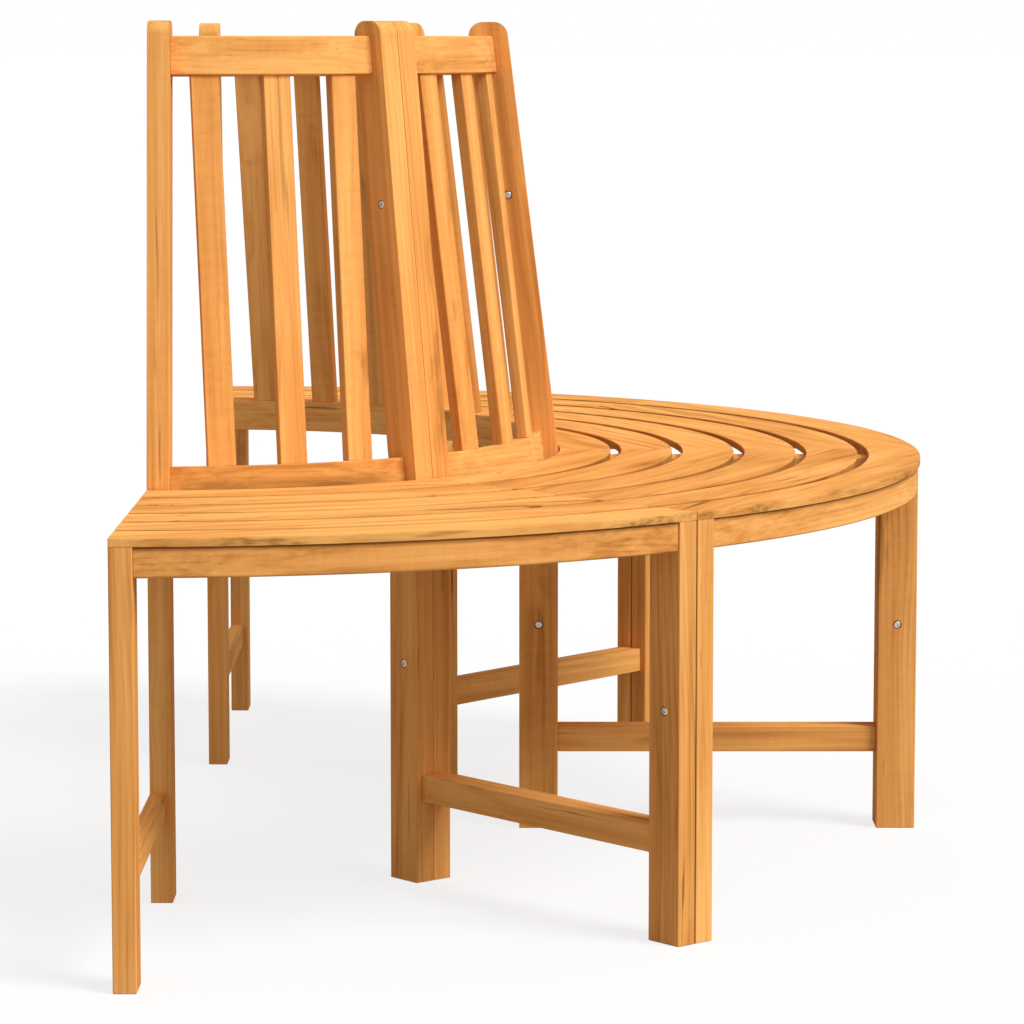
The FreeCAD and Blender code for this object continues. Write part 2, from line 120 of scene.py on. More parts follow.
class Slot(Enum):
    """The record's material slots."""

    FRAME_WOOD = "frame_wood"
    SLAT_WOOD = "slat_wood"
    STEEL = "fastener_steel"


class Sawing(Enum):
    """How a board lies in its log: lowest and highest place of its middle across and deep, in metres."""

    FLAT = ((-0.012, 0.055), (0.012, 0.085))
    RIFT = ((0.03, 0.05), (0.07, 0.09))
    QUARTER = ((-0.02, 0.09), (0.02, 0.14))


class SeedStep(IntEnum):
    """What a segment, its second side frame and each of its boards add to the seed of the wood."""

    SEGMENT = 100
    SECOND_FRAME = 10
    FRONT_LEG = 0
    BACK_POST = 1
    STRETCHER = 2
    SIDE_RAIL = 3
    SEAT_SLATS = 20
    FRONT_APRON = 40
    SEAT_BATTEN = 50
    BOTTOM_RAIL = 61
    TOP_RAIL = 62
    BACK_SLATS = 65


@dataclass(frozen=True)
class JointLine:
    """A line in plan where segments meet.

    Attributes:
        angle: Angle from the middle of the seat, in radians, positive to +X.
        offset: Sideways offset of the line from the tree's centre, in metres.
    """

    angle: float
    offset: float

    def matrix(self) -> Matrix:
        """Return the line's frame.

        Returns:
            The matrix of a frame whose X runs outwards, Y towards the next segment and Z up.
        """
        out = Vector((math.sin(self.angle), -math.cos(self.angle), 0))
        side = Vector((math.cos(self.angle), math.sin(self.angle), 0))
        frame_columns = Matrix((out, side, Vector((0, 0, 1)))).transposed().to_4x4()
        return Matrix.Translation(side * self.offset) @ frame_columns

    def plane_angle(self, side: float, radius: float) -> float:
        """Return the angle in plan at which a plane beside the line meets a circle."""
        return self.angle + math.asin((self.offset + side) / radius)


@dataclass(frozen=True)
class BenchPlan:
    """Sizes of the bench in metres and radians. The first ones are read from the frame."""

    radius: float
    post_front: float
    leg_depth: float
    leg_thickness: float
    joint_gap: float
    leg_top: float
    seat_height: float
    post_height: float
    slat_inner_radius: float
    apron_bottom: float
    stretcher_bottom: float
    stretcher_top: float
    side_rail_bottom: float
    mitre_angle: float = math.radians(49.2)
    mitre_offset: float = 0.016
    lean_rise: float = 0.0035
    lean: float = math.radians(7)
    bend_radius: float = 0.08
    top_radius: float = 0.015
    slat_count: int = 6
    slat_gap: float = 0.0117
    apron_thickness: float = 0.018
    apron_setback: float = 0.002
    stretcher_thickness: float = 0.015
    side_rail_thickness: float = 0.02
    batten_width: float = 0.04
    batten_setback: float = 0.01
    rail_thickness: float = 0.02
    rail_setback: float = 0.016
    top_rail_width: float = 0.0385
    top_rail_drop: float = 0.0353
    bottom_rail_width: float = 0.035
    bottom_rail_rise: float = 0.003
    back_slat_count: int = 3
    back_slat_width: float = 0.0286
    back_slat_thickness: float = 0.012
    back_slat_pitch_end: float = 0.0717
    back_slat_pitch_middle: float = 0.076
    leg_bolt_height: float = 0.2243
    post_bolt_height: float = 0.69
    counterbore_radius: float = 0.0048
    counterbore_depth: float = 0.0026
    head_radius: float = 0.0042
    head_height: float = 0.0024

    @classmethod
    def from_frame(cls) -> "BenchPlan":
        """Read the main sizes from the construction.

        Returns:
            The plan that every piece is made from.
        """
        leg_low, leg_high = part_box("right_middle_front_leg_inner")
        end_leg_low, end_leg_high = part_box("right_end_front_leg_outer")
        slats_low, slats_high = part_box("left_end_seat_slats")
        stretcher_low, stretcher_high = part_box("left_end_stretcher_outer")
        return cls(
            radius=CAD_BOX[1].x,
            post_front=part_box("right_end_back_post_outer")[1].x,
            leg_depth=end_leg_high.x - end_leg_low.x,
            leg_thickness=leg_high.x - leg_low.x,
            joint_gap=2 * leg_low.x,
            leg_top=slats_low.z,
            seat_height=slats_high.z,
            post_height=CAD_BOX[1].z,
            slat_inner_radius=-max(
                point.co.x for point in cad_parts["left_end_seat_slats"].data.vertices
                if point.co.y > -STRAIGHT_SIDE
            ),
            apron_bottom=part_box("left_end_front_apron")[0].z,
            stretcher_bottom=stretcher_low.z,
            stretcher_top=stretcher_high.z,
            side_rail_bottom=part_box("left_end_side_rail_outer")[0].z,
        )

    @property
    def inset(self) -> float:
        """Distance from a joint line to the inner side of a leg or post."""
        return self.joint_gap / 2 + self.leg_thickness

    @property
    def leg_inner(self) -> float:
        """Radius of a front leg's inner edge."""
        return self.radius - self.leg_depth

    @property
    def apron_inner(self) -> float:
        """Radius of the front apron's inner side."""
        return self.radius - self.apron_setback - self.apron_thickness

    @property
    def lean_start(self) -> float:
        """Height at which a post starts to lean."""
        return self.seat_height + self.lean_rise

    @property
    def bottom_rail_level(self) -> float:
        """Height of the bottom rail's middle."""
        return self.seat_height + self.bottom_rail_rise

    @property
    def top_rail_level(self) -> float:
        """Height of the top rail's middle."""
        return self.post_height - self.top_rail_drop

    @property
    def panel_radius(self) -> float:
        """Radius of the back rails' middle at the height where the lean starts."""
        return self.post_front - self.rail_setback - self.rail_thickness / 2

    @property
    def slat_width(self) -> float:
        """Width of one seat slat."""
        gaps = (self.slat_count - 1) * self.slat_gap
        return (self.radius - self.slat_inner_radius - gaps) / self.slat_count

    @property
    def bolt_places(self) -> list[Point]:
        """List the bolt through the legs and then the two through the posts.

        Returns:
            Distance out and height of each bolt.
        """
        leg = self.radius - self.leg_depth / 2
        post = self.post_front - self.leg_depth / 2
        return [
            (leg, self.leg_bolt_height),
            (post, self.leg_bolt_height),
            (post - self.leaning(self.post_bolt_height), self.post_bolt_height),
        ]

    def leaning(self, height: float) -> float:
        """Return how far the back has moved inwards at a height."""
        return max(0.0, height - self.lean_start) * math.tan(self.lean)

    def rail_radius(self, level: float) -> float:
        """Return the middle radius of a back rail at a height."""
        return self.panel_radius - (level - self.lean_start) * math.tan(self.lean)


@dataclass(frozen=True)
class Segment:
    """One segment of the ring between two joint lines.

    Attributes:
        name: Name that leads the names of the segment's nodes.
        start: Joint line at the left, as seen by someone who faces the bench.
        end: Joint line at the right.
        start_end: Which end of the segment lies at the start.
        final_end: Which end of the segment lies at the end.
        slat_pitch: Distance between the middles of back slats.
    """

    name: str
    start: JointLine
    end: JointLine
    start_end: str
    final_end: str
    slat_pitch: float

    def node(self, name: str) -> str:
        """Return the node of one of the segment's boards."""
        return f"{self.name}_{name}"

    def middle_angle(self, plan: BenchPlan, radius: float) -> float:
        """Find the middle between the segment's side frames.

        Args:
            plan: Sizes of the bench.
            radius: Radius of the circle that the middle lies on.

        Returns:
            The middle's angle in plan.
        """
        first = self.start.plane_angle(plan.inset, radius)
        last = self.end.plane_angle(-plan.inset, radius)
        return (first + last) / 2


def make_segments(plan: BenchPlan) -> list[Segment]:
    """List the four segments from left to right.

    Args:
        plan: Sizes of the bench.

    Returns:
        The segments.
    """
    left_end = JointLine(-math.pi / 2, 0.0)
    left_mitre = JointLine(-plan.mitre_angle, plan.mitre_offset)
    middle = JointLine(0.0, 0.0)
    right_mitre = JointLine(plan.mitre_angle, -plan.mitre_offset)
    right_end = JointLine(math.pi / 2, 0.0)
    end_pitch, middle_pitch = plan.back_slat_pitch_end, plan.back_slat_pitch_middle
    return [
        Segment("left_end", left_end, left_mitre, "outer", "inner", end_pitch),
        Segment("left_middle", left_mitre, middle, "outer", "inner", middle_pitch),
        Segment("right_middle", middle, right_mitre, "inner", "outer", middle_pitch),
        Segment("right_end", right_mitre, right_end, "inner", "outer", end_pitch),
    ]


class Wiring:
    """Adds nodes to a shader or geometry tree and links them."""

    def __init__(self, tree: bpy.types.NodeTree) -> None:
        """Start wiring a tree."""
        self.tree = tree

    def plug(self, socket: Socket, value: object) -> None:
        """Link an output to a socket, or set the socket to a plain value.

        Args:
            socket: The input socket.
            value: The output or the plain value.
        """
        if isinstance(value, Socket):
            self.tree.links.new(value, socket)
        else:
            socket.default_value = value

    def add(
        self, kind: str, inputs: dict[object, object] | None = None, **settings: object,
    ) -> bpy.types.Node:
        """Add a node.

        Args:
            kind: The node's type.
            inputs: Values or outputs for its sockets, by name or number.
            **settings: Properties of the node.

        Returns:
            The node.
        """
        node = self.tree.nodes.new(kind)
        for name, value in settings.items():
            setattr(node, name, value)
        for key, value in (inputs or {}).items():
            sockets = [socket for socket in node.inputs if socket.enabled]
            if isinstance(key, int):
                self.plug(sockets[key], value)
            else:
                self.plug(next(socket for socket in sockets if socket.name == key), value)
        return node

    def out(self, kind: str, inputs: dict[object, object] | None = None, **settings: object) -> Socket:
        """Add a node and return its first enabled output."""
        node = self.add(kind, inputs, **settings)
        return next(socket for socket in node.outputs if socket.enabled)

    def math(self, operation: str, *values: object) -> Socket:
        """Work out numbers."""
        return self.out("ShaderNodeMath", dict(enumerate(values)), operation=operation)

    def vector(self, operation: str, *values: object) -> Socket:
        """Work out vectors."""
        return self.out("ShaderNodeVectorMath", dict(enumerate(values)), operation=operation)

    def total(self, *values: object) -> Socket:
        """Add up several numbers, from the first to the last."""
        return reduce(partial(self.math, "ADD"), values)

    def product(self, *values: object) -> Socket:
        """Multiply several numbers, from the first to the last."""
        return reduce(partial(self.math, "MULTIPLY"), values)

    def minus(self, value: object, less: object) -> Socket:
        """Take a number from another."""
        return self.math("SUBTRACT", value, less)

    def highest(self, *values: object) -> Socket:
        """Return the highest of several numbers."""
        return reduce(partial(self.math, "MAXIMUM"), values)

    def swing(self, value: object, amount: object) -> Socket:
        """Turn a value from 0 to 1 into a swing about zero, of an amount from end to end."""
        return self.product(self.minus(value, 0.5), amount)

    def combine(self, x: object, y: object, z: object) -> Socket:
        """Make a vector of three numbers."""
        return self.out("ShaderNodeCombineXYZ", {"X": x, "Y": y, "Z": z})

    def split(self, vector: object) -> tuple[Socket, Socket, Socket]:
        """Return a vector's three numbers."""
        node = self.add("ShaderNodeSeparateXYZ", {"Vector": vector})
        return node.outputs[0], node.outputs[1], node.outputs[2]

    def turned(self, vector: object, angle: object, axis: str) -> Socket:
        """Turn a vector about the X, Y or Z axis."""
        inputs = {"Vector": vector, "Angle": angle}
        return self.out("ShaderNodeVectorRotate", inputs, rotation_type=axis + "_AXIS")

    def ramp(self, value: object, low: float, high: float, start: float = 0.0, end: float = 1.0) -> Socket:
        """Map a value smoothly from one range to another, and hold it at the ends."""
        inputs = {"Value": value, "From Min": low, "From Max": high, "To Min": start, "To Max": end}
        return self.out("ShaderNodeMapRange", inputs, interpolation_type="SMOOTHSTEP")


NOISE_ROUGHNESS = 0.55


class ShaderWiring(Wiring):
    """Wiring of a material, with the parts that the finishes share."""

    def __init__(self, name: str) -> None:
        """Start a material with an empty tree.

        Args:
            name: Name of the material.
        """
        self.material = bpy.data.materials.new(name)
        self.material.use_nodes = True
        self.material.node_tree.nodes.clear()
        super().__init__(self.material.node_tree)

    def read(self, name: str, output: str = "Fac") -> Socket:
        """Read a mesh attribute as a number, or as a vector if the output is called so."""
        node = self.add("ShaderNodeAttribute", attribute_name=name, attribute_type="GEOMETRY")
        return node.outputs[output]

    def noise(self, vector: object, stretch: Sequence[float], detail: float = 2.0) -> Socket:
        """Make noise from 0 to 1.

        Args:
            vector: Place that the noise depends on.
            stretch: How many times the noise changes in a metre along each axis.
            detail: Number of finer layers.

        Returns:
            The noise.
        """
        stretched = self.vector("MULTIPLY", vector, stretch)
        return self.out("ShaderNodeTexNoise", {
            "Vector": stretched, "Scale": 1.0, "Detail": detail, "Roughness": NOISE_ROUGHNESS,
        })

    def mix(self, share: object, first: object, second: object) -> Socket:
        """Mix two colours."""
        return self.out("ShaderNodeMix", {"Factor": share, "A": first, "B": second}, data_type="RGBA")

    def close(self, surface: Socket) -> Material:
        """Link the surface to the material's output and return the material."""
        self.add("ShaderNodeOutputMaterial", {"Surface": surface})
        return self.material


@dataclass(frozen=True)
class Soil:
    """Painted shade beside one face of a board, where shade falls between it and its neighbours.

    Attributes:
        full: Distance from that face at which the wood is darkest, in metres.
        clean: Distance at which the painted shade ends.
        strength: How much of the wood's colour is lost where it is darkest.
    """

    full: float
    clean: float
    strength: float


@dataclass(frozen=True)
class Figure:
    """How much each pattern of the wood changes its depth of colour."""

    middle: float = 0.42
    ring: float = 0.3
    fibre: float = 0.35
    streak: float = 1.1
    band: float = 1.7
    ripple: float = 0.3
    cloud: float = 1.1
    tone: float = 0.5
    stain: float = 0.45
    fleck: float = 0.3
    vein: float = 0.8


@dataclass(frozen=True)
class WoodFinish:
    """Oiled hardwood, cut from a log whose axis runs along each board's grain.

    Attributes:
        name: Name of the material.
        soil: Painted shade beside the board's neighbours.
        figure: How much each pattern shows.
        pale: Colour of the palest wood.
        middle: Colour of most of the wood.
        deep: Colour of the deeper streaks.
        vein: Colour of the dark mineral streaks and knots.
        wander: How far the grain wanders from a straight line, in metres.
        knot_pull: How far a knot pushes the grain aside, in metres.
        ring_spacing: Mean distance between growth rings, in metres.
        ring_power: How narrow the dark lines of the rings are.
        ring_mean: Mean darkness of the rings, which leaves the wood's depth of colour as it is.
        log_taper: How much thinner the log gets, per metre of its length.
        knot_level: Share of the places for a knot that have none.
        knot_rough_scale: How fine the ragged edge of a knot is.
        knot_roughness: How ragged a knot's edge is.
        vein_level: Noise level above which dark streaks show.
        vein_softness: How far above that level they are full.
        roughness: Middle roughness of the oiled surface.
        fibre_roughness: How much the roughness changes between fibres.
        cloud_roughness: How much it changes over the board.
        fibre_height: Height of the fibres, negative where they are sunk.
        streak_height: Height of the streaks.
        ripple_height: Height of the ripple.
        bump: Strength of the bumps.
        bump_size: Size of the bumps, in metres.
        gloss: Level of the oiled surface's reflection.
        refraction: Refractive index of the oil.
    """

    name: str
    soil: Soil
    figure: Figure = Figure()
    pale: Colour = linear(253, 187, 106)
    middle: Colour = linear(238, 165, 88)
    deep: Colour = linear(200, 129, 60)
    vein: Colour = linear(124, 77, 27)
    wander: float = 0.022
    knot_pull: float = 0.006
    ring_spacing: float = 0.0055
    ring_power: float = 5.0
    ring_mean: float = 0.25
    log_taper: float = 0.022
    knot_level: float = 0.9
    knot_rough_scale: float = 9.0
    knot_roughness: float = 0.12
    vein_level: float = 0.61
    vein_softness: float = 0.09
    roughness: float = 0.85
    fibre_roughness: float = 0.2
    cloud_roughness: float = 0.15
    fibre_height: float = -0.7
    streak_height: float = -0.4
    ripple_height: float = -0.1
    bump: float = 0.45
    bump_size: float = 0.0002
    gloss: float = 0.1
    refraction: float = 1.4

    def material(self) -> Material:
        """Build the node material."""
        return WoodShader(self).build()


# How many times a pattern changes in a metre: along the grain, across it and into the log
WANDER_STRETCH = (1.8, 12.0, 12.0)
FIBRE_STRETCH = (10.0, 900.0, 900.0)
STREAK_STRETCH = (4.0, 240.0, 240.0)
BAND_STRETCH = (1.3, 65.0, 65.0)
RIPPLE_STRETCH = (170.0, 55.0, 55.0)
RIPPLE_PATCH_STRETCH = (2.4, 9.0, 9.0)
CLOUD_STRETCH = (3.5, 14.0, 14.0)
RING_PATCH_STRETCH = (1.2, 30.0, 30.0)
VEIN_STRETCH = (3.0, 120.0, 120.0)
VEIN_PATCH_STRETCH = (1.7, 11.0, 11.0)
STAIN_STRETCH = (7.0, 30.0, 30.0)
RIM_STRETCH = (5.0, 330.0, 330.0)
RIM_PATCH_STRETCH = (6.0, 30.0, 30.0)
KNOT_STRETCH = (9.0, 26.0, 26.0)
FLECK_STRETCH = (25.0, 480.0, 480.0)
FLECK_PATCH_STRETCH = (3.0, 40.0, 40.0)

# Where a pattern starts and ends to show, and then how much it shows there if that isn't 0 and 1
MIDDLE_FADE = (-0.1, 0.55)
DEEP_FADE = (0.4, 1.25)
RIPPLE_PATCH_FADE = (0.4, 0.6, 0.15, 1.0)
RING_PATCH_FADE = (0.35, 0.62, 0.15, 1.0)
VEIN_PATCH_FADE = (0.52, 0.61)
STAIN_FADE = (0.66, 0.78)
RIM_PATCH_FADE = (0.44, 0.66)
KNOT_FADE = (0.015, 0.085, 0.85, 0.0)
KNOT_PULL_FADE = (0.0, 0.5, 1.0, 0.0)
FLECK_FADE = (0.64, 0.76)
FLECK_PATCH_FADE = (0.42, 0.62)
FIBRE_LINE_FADE = (0.35, 0.65, 0.3, 1.0)
# How uneven the painted shade beside a board's neighbours is
UNEVEN_SHADE_FADE = (0.3, 0.7, 0.8, 1.1)

# The same for what depends on the distance to the board's edge or end, in metres
STAIN_EDGE_FADE = (0.0, 0.006, 0.05, 0.0)
RIM_FADE = (0.0, 0.008, 1.0, 0.0)
# Pale edges, as rubbed wear and as a painted highlight
EDGE_WEAR_AND_HIGHLIGHT_FADE = (0.0002, 0.002, 0.1, 0.0)
END_GRAIN_FADE = (0.0001, 0.0006, 0.8, 0.0)


class WoodShader(ShaderWiring):
    """The nodes of an oiled wood, worked out from each board's own attributes."""

    def __init__(self, finish: WoodFinish) -> None:
        """Read the board's attributes and make the patterns that several parts share.

        Args:
            finish: The finish to build.
        """
        super().__init__(finish.name)
        self.finish = finish
        grain = self.read(GRAIN, "Vector")
        self.knot, pull = self.knots(grain)
        wander = self.swing(self.noise(grain, WANDER_STRETCH), finish.wander)
        shift = self.total(wander, self.product(pull, finish.knot_pull))
        along, across, deep = self.split(grain)
        self.bent = self.combine(along, self.total(across, shift), self.total(deep, shift))
        self.fibre = self.noise(self.bent, FIBRE_STRETCH)
        self.streak = self.noise(self.bent, STREAK_STRETCH)
        self.ripple = self.noise(grain, RIPPLE_STRETCH, 1.0)
        self.curly = self.ramp(self.noise(grain, RIPPLE_PATCH_STRETCH, 1.0), *RIPPLE_PATCH_FADE)
        self.cloud = self.noise(grain, CLOUD_STRETCH)
        place = self.vector("ABSOLUTE", self.read(CUT, "Vector"))
        self.margins = self.split(self.vector("SUBTRACT", self.read(HALF, "Vector"), place))

    def knots(self, grain: Socket) -> tuple[Socket, Socket]:
        """Scatter small uneven dark knots.

        Args:
            grain: Place in the log.

        Returns:
            Where the knots lie, and how far they push the grain aside.
        """
        finish = self.finish
        stretched = self.vector("MULTIPLY", grain, KNOT_STRETCH)
        ragged = self.out("ShaderNodeTexNoise", {
            "Vector": stretched, "Scale": finish.knot_rough_scale, "Detail": 2.0,
        })
        cells = self.add("ShaderNodeTexVoronoi", {"Vector": stretched, "Scale": 1.0}).outputs
        chosen = self.math("GREATER_THAN", self.split(cells["Color"])[0], finish.knot_level)
        reach = self.math("MULTIPLY_ADD", self.minus(ragged, 0.5), finish.knot_roughness, cells["Distance"])
        spot = self.ramp(reach, *KNOT_FADE)
        pull = self.ramp(cells["Distance"], *KNOT_PULL_FADE)
        return self.product(spot, chosen), self.product(pull, chosen)

    def rings(self) -> Socket:
        """Draw the growth rings about the log's axis, which come and go.

        Returns:
            How dark a spot is, about zero.
        """
        finish = self.finish
        along, across, deep = self.split(self.bent)
        reach = self.math("SQRT", self.total(self.math("POWER", across, 2.0), self.math("POWER", deep, 2.0)))
        radius = self.total(reach, self.product(along, finish.log_taper))
        wave = self.math("SINE", self.product(radius, 2 * math.pi / finish.ring_spacing))
        late = self.math("POWER", self.math("MULTIPLY_ADD", wave, 0.5, 0.5), finish.ring_power)
        shown = self.ramp(self.noise(self.bent, RING_PATCH_STRETCH, 1.0), *RING_PATCH_FADE)
        return self.product(self.minus(late, finish.ring_mean), shown)

    def depth(self) -> Socket:
        """Add up the patterns that make the wood paler or deeper.

        Returns:
            How deep the wood's colour is.
        """
        show = self.finish.figure
        return self.total(
            self.product(self.rings(), show.ring),
            self.swing(self.fibre, show.fibre),
            self.swing(self.streak, show.streak),
            self.swing(self.noise(self.bent, BAND_STRETCH), show.band),
            self.product(self.swing(self.ripple, show.ripple), self.curly),
            self.swing(self.cloud, show.cloud),
            self.product(self.read(TONE), show.tone),
            show.middle,
        )

    def veins(self) -> Socket:
        """Draw long thin dark streaks.

        Returns:
            Where they lie.
        """
        finish = self.finish
        full = finish.vein_level + finish.vein_softness
        line = self.ramp(self.noise(self.bent, VEIN_STRETCH, 4.0), finish.vein_level, full)
        where = self.ramp(self.noise(self.bent, VEIN_PATCH_STRETCH, 1.0), *VEIN_PATCH_FADE)
        return self.product(line, where, finish.figure.vein)

    def stains(self) -> Socket:
        """Draw wider dark stains, of which there are more beside the board's edge.

        Returns:
            Where they lie.
        """
        edge = self.ramp(self.margins[0], *STAIN_EDGE_FADE)
        level = self.total(self.noise(self.bent, STAIN_STRETCH, 4.0), edge)
        return self.ramp(level, *STAIN_FADE, 0.0, self.finish.figure.stain)

    def rim_stain(self) -> Socket:
        """Stain the seat's outer rim, in fine lines.

        Returns:
            How much a spot is stained.
        """
        rim = self.product(self.ramp(self.margins[0], *RIM_FADE), self.read(RIM_STAIN))
        patch = self.ramp(self.noise(self.bent, RIM_PATCH_STRETCH, 3.0), *RIM_PATCH_FADE)
        line = self.ramp(self.noise(self.bent, RIM_STRETCH, 1.0), *FIBRE_LINE_FADE)
        return self.product(rim, patch, line)

    def flecks(self) -> Socket:
        """Draw short dark pores, which come in patches.

        Returns:
            Where they lie.
        """
        pore = self.noise(self.bent, FLECK_STRETCH, 1.0)
        patch = self.ramp(self.noise(self.bent, FLECK_PATCH_STRETCH, 1.0), *FLECK_PATCH_FADE)
        return self.product(self.ramp(pore, *FLECK_FADE, 0.0, self.finish.figure.fleck), patch)

    def edge_wear_and_highlight(self) -> Socket:
        """Find the spots near an edge of their board that are painted pale, as rubbed wear and as a painted
        highlight along the edge.

        Returns:
            How much a spot is painted pale.
        """
        across, deep, along = self.margins
        nearest = self.math("MINIMUM", across, deep)
        other = self.math("MAXIMUM", across, deep)
        second = self.math("MAXIMUM", nearest, self.math("MINIMUM", other, along))
        return self.product(self.ramp(second, *EDGE_WEAR_AND_HIGHLIGHT_FADE), self.ramp(self.fibre, *FIBRE_LINE_FADE))

    def end_grain(self) -> Socket:
        """Return how much a spot shows end grain, which lies at a board's two ends."""
        return self.ramp(self.margins[2], *END_GRAIN_FADE)

    def shade_beside_neighbours(self) -> Socket:
        """Paint shade beside the board's neighbours, uneven over the board.

        Returns:
            How much of the wood's colour is lost.
        """
        soil = self.finish.soil
        near = self.ramp(self.read(PAINTED_SHADE_DISTANCE), soil.full, soil.clean, soil.strength, 0.0)
        return self.product(near, self.read(PAINTED_SHADE), self.ramp(self.cloud, *UNEVEN_SHADE_FADE))

    def colour(self) -> Socket:
        """Lay the wood's colours over each other.

        Returns:
            The wood's colour.
        """
        finish = self.finish
        depth = self.depth()
        dark = self.highest(self.veins(), self.stains(), self.rim_stain())
        wood = self.mix(self.ramp(depth, *MIDDLE_FADE), finish.pale, finish.middle)
        for share, over in (
            (self.ramp(depth, *DEEP_FADE), finish.deep),
            (self.highest(dark, self.highest(self.knot, self.flecks())), finish.vein),
            # Pale edges: rubbed wear and a painted highlight
            (self.edge_wear_and_highlight(), finish.pale),
            (self.end_grain(), finish.deep),
            # Painted shade beside the board's neighbours, in the colour of the veins
            (self.shade_beside_neighbours(), finish.vein),
        ):
            wood = self.mix(share, wood, over)
        return wood

    def build(self) -> Material:
        """Wire the surface of the wood.

        Returns:
            The material.
        """
        finish = self.finish
        height = self.total(
            self.product(self.fibre, finish.fibre_height),
            self.product(self.streak, finish.streak_height),
            self.product(self.ripple, finish.ripple_height),
        )
        rough = self.total(
            finish.roughness,
            self.swing(self.fibre, finish.fibre_roughness),
            self.swing(self.cloud, finish.cloud_roughness),
        )
        return self.close(self.out("ShaderNodeBsdfPrincipled", {
            "Base Color": self.colour(),
            "Roughness": rough,
            "IOR": finish.refraction,
            "Specular IOR Level": finish.gloss,
            "Normal": self.out("ShaderNodeBump", {
                "Strength": finish.bump, "Distance": finish.bump_size, "Height": height,
            }),
        }))


@dataclass(frozen=True)
class SteelFinish:
    """Zinc-plated steel of the connector bolts and their sleeve nuts.

    Attributes:
        name: Name of the material.
        colour: Colour of the bright plating.
        dull: Colour of the dull plating.
        patina_stretch: How many times the dull spots change in a metre.
        scratch_stretch: How many times the fine scratches change in a metre.
        dull_fade: Where the dull spots start and end to show, and how much.
        rough_fade: The same for the surface's roughness.
        scratch: Strength of the scratches.
        scratch_size: Size of the scratches, in metres.
    """

    name: str
    colour: Colour = linear(208, 204, 197)
    dull: Colour = linear(170, 165, 156)
    patina_stretch: tuple[float, float, float] = (900.0, 900.0, 900.0)
    scratch_stretch: tuple[float, float, float] = (300.0, 300.0, 6000.0)
    dull_fade: Fade = (0.4, 0.75, 0.0, 0.7)
    rough_fade: Fade = (0.3, 0.8, 0.36, 0.56)
    scratch: float = 0.25
    scratch_size: float = 0.00005

    def material(self) -> Material:
        """Build the node material.

        Returns:
            The material.
        """
        w = ShaderWiring(self.name)
        place = w.add("ShaderNodeTexCoord").outputs["Object"]
        patina = w.noise(place, self.patina_stretch, 3.0)
        return w.close(w.out("ShaderNodeBsdfPrincipled", {
            "Base Color": w.mix(w.ramp(patina, *self.dull_fade), self.colour, self.dull),
            "Metallic": 1.0,
            "Roughness": w.ramp(patina, *self.rough_fade),
            "Normal": w.out("ShaderNodeBump", {
                "Strength": self.scratch,
                "Distance": self.scratch_size,
                "Height": w.noise(place, self.scratch_stretch),
            }),
        }))


@dataclass(frozen=True)
class Finishes:
    """The materials of the bench."""

    frame_wood: Material
    apron_wood: Material
    seat_wood: Material
    back_wood: Material
    steel: Material

    @classmethod
    def make(cls) -> "Finishes":
        """Build every material once.

        Returns:
            The materials.
        """
        # Painted shade: between paired legs and along the back slats' long sides, a painted shadow under the
        # seat's front edge on the apron, and down the walls of the spaces between seat slats
        joint = Soil(full=0.0003, clean=0.0014, strength=0.7)
        overhang = Soil(full=0.001, clean=0.0065, strength=0.62)
        gap = Soil(full=0.0022, clean=0.0005, strength=0.6)
        seat = Figure(ring=0.28, streak=0.75, ripple=0.15, cloud=1.9, stain=0.6)
        back = Figure(ripple=0.4, cloud=0.9, vein=0.4)
        return cls(
            frame_wood=WoodFinish("oiled_frame_wood", joint).material(),
            apron_wood=WoodFinish("oiled_apron_wood", overhang).material(),
            seat_wood=WoodFinish("oiled_seat_wood", gap, seat, vein_level=0.59, gloss=0.02).material(),
            back_wood=WoodFinish("oiled_back_wood", joint, back, vein_level=0.59).material(),
            steel=SteelFinish("zinc_plated_steel").material(),
        )


def evaluated_mesh(thing: bpy.types.Object, name: str) -> Mesh:
    """Turn an object with its modifiers into a plain mesh and remove the object.

    Args:
        thing: The object.
        name: Name of the mesh.

    Returns:
        The mesh.
    """
    graph = bpy.context.evaluated_depsgraph_get()
    mesh = bpy.data.meshes.new_from_object(
        thing.evaluated_get(graph), preserve_all_data_layers=True, depsgraph=graph,
    )
    mesh.name = name
    bpy.data.objects.remove(thing)
    return mesh


def link_mesh(mesh: Mesh, name: str) -> bpy.types.Object:
    """Put a mesh into the scene.

    Args:
        mesh: The mesh.
        name: Name of the object.

    Returns:
        The object.
    """
    thing = bpy.data.objects.new(name, mesh)
    bpy.context.scene.collection.objects.link(thing)
    return thing


def settle(mesh: Mesh, node: str, slot: Slot, finish: Material) -> None:
    """Give a finished mesh its shading, finish and place in the frame.

    Args:
        mesh: The piece's mesh, in the bench's own frame.
        node: The construction node that the piece stands for.
        slot: The record's material slot; not used.
        finish: The piece's material.
    """
    mesh.materials.clear()
    mesh.materials.append(finish)
    mesh.polygons.foreach_set("use_smooth", [True] * len(mesh.polygons))
    mesh.set_sharp_from_angle(angle=SHARP_ANGLE)
    rough = link_mesh(mesh, node + "_shading")
    weighting = rough.modifiers.new("weighting", "WEIGHTED_NORMAL")
    weighting.keep_sharp = True
    piece = link_mesh(evaluated_mesh(rough, node + "_finished"), node + "_finished")
    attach(piece, BODY)
    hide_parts(node)
    LOG.info("%s: %d faces", piece.name, len(piece.data.polygons))


def rectangle(left: float, bottom: float, right: float, top: float) -> list[Point]:
    """Return the outline of a rectangle, anticlockwise from its lower left corner."""
    return [(left, bottom), (right, bottom), (right, top), (left, top)]


